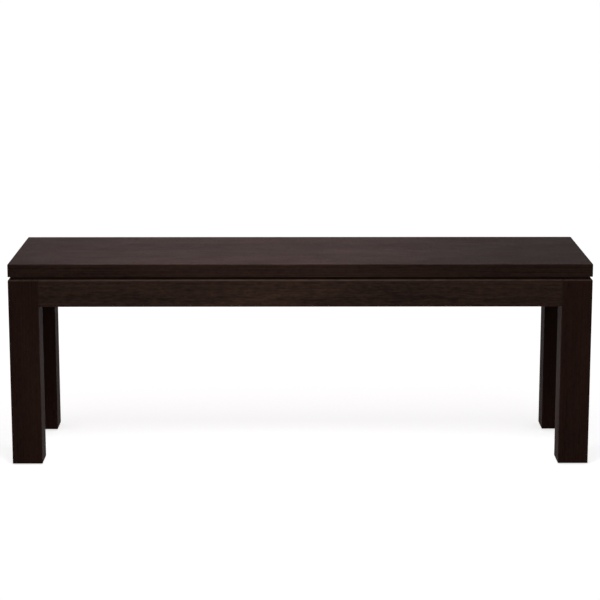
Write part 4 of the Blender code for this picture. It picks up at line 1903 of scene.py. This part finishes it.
@dataclass(frozen=True)
class Studio:
    """The plain studio: floor, light and the photograph's camera.

    Args:
        lamps: its lamps.
        floor_size: the floor's length and width.
        floor_white: the floor's own reflectance where it is seen, straight or by reflection.
        floor_lift: how much is added there, so that lit floor comes out white and shadow stays.
        floor_bounce: the floor's reflectance for the soft light that it throws back on the bench.
        horizon, zenith: the brightness of the room's light at eye level and overhead.
        ceiling: how bright the room looks overhead, where it is seen, while at eye level it is white.
        light_rise, look_rise: from where to where, from 0 level to 1 upright, the light and the look change.
        camera_place: where the camera stands.
        camera_pitch, camera_turn: how far it looks down and is turned to the right, in degrees.
        lens: its focal length on a 36 mm sensor, in millimetres.
    """

    lamps: tuple[Lamp, ...] = LAMPS
    floor_size: float = 80.0
    floor_white: float = 0.55
    floor_lift: float = 0.73
    floor_bounce: float = 0.42
    horizon: float = 0.15
    zenith: float = 0.75
    ceiling: float = 0.40
    light_rise: Span = (0.15, 0.95)
    look_rise: Span = (0.10, 0.50)
    camera_place: Triple = (-0.0183, -4.4840, 1.2317)
    camera_pitch: float = 11.306
    camera_turn: float = 0.233
    lens: float = 121.16

    def build(self) -> None:
        """Sets up the whole studio."""
        self.floor()
        self.room()
        for lamp in self.lamps:
            lamp.hang()
        self.camera()
        bpy.context.scene.view_settings.view_transform = "Standard"

    def floor(self) -> None:
        """Lays a pale floor that comes out white, keeps the bench's shadow, and is clear from below."""
        bpy.ops.object.select_all(action="DESELECT")
        bpy.ops.mesh.primitive_plane_add(size=self.floor_size, location=(0, 0, 0))
        floor = settle(bpy.context.object, "studio_floor")
        made = bpy.data.materials.new("pale_floor")
        made.use_nodes = True
        made.node_tree.nodes.remove(made.node_tree.nodes["Principled BSDF"])
        graph = Graph(made.node_tree)
        white = graph.first("BsdfDiffuse", {"Color": (self.floor_white,) * 3})
        lift = graph.first("Emission", {"Strength": self.floor_lift})
        bounced = graph.first("BsdfDiffuse", {"Color": (self.floor_bounce,) * 3})
        top = graph.by_sight(bounced, graph.first("AddShader", {0: white, 1: lift}))
        underside = graph.node("NewGeometry").outputs["Backfacing"]
        both = graph.first("MixShader", {0: underside, 1: top, 2: graph.first("BsdfTransparent")})
        graph.feed(both, made.node_tree.nodes["Material Output"].inputs["Surface"])
        floor.data.materials.append(made)

    def room(self) -> None:
        """Makes a room that looks white at eye level and lights the bench dimly, most from above."""
        world = bpy.data.worlds.new("studio_room")
        bpy.context.scene.world = world
        world.use_nodes = True
        world.node_tree.nodes.remove(world.node_tree.nodes["Background"])
        graph = Graph(world.node_tree)
        height = graph.node("SeparateXYZ", {0: graph.node("TexCoord").outputs["Generated"]}).outputs["Z"]
        light = graph.ramp(height, *self.light_rise, self.horizon, self.zenith)
        look = graph.ramp(height, *self.look_rise, 1.0, self.ceiling)
        both = graph.by_sight(*(graph.first("Background", {"Strength": power}) for power in (light, look)))
        graph.feed(both, world.node_tree.nodes["World Output"].inputs["Surface"])

    def camera(self) -> None:
        """Stands the camera where the photograph was taken from."""
        data = bpy.data.cameras.new("camera")
        data.lens = self.lens
        camera = bpy.data.objects.new("camera", data)
        bpy.context.scene.collection.objects.link(camera)
        camera.location = self.camera_place
        camera.rotation_euler = (math.radians(90 - self.camera_pitch), 0, math.radians(-self.camera_turn))
        bpy.context.scene.camera = camera


def main() -> None:
    """Builds the studio, then builds and dresses the bench, and logs each assembly's pieces."""
    logging.basicConfig(level=logging.INFO, format="%(name)s: %(message)s")
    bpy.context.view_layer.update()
    Studio().build()
    build_wood_figure()
    build_handling_marks()
    materials = {finish.name: finish.build() for finish in FINISHES}
    for kind in (Seat, Legs, Aprons, CornerBlocks, SeatButtons, HangerBolts, Screws, Glides):
        assembly = kind()
        assembly.build()
        assembly.dress(materials)
        LOG.info("%s: %d pieces", kind.__name__, len(assembly.pieces))


if __name__ == "__main__":
    main()
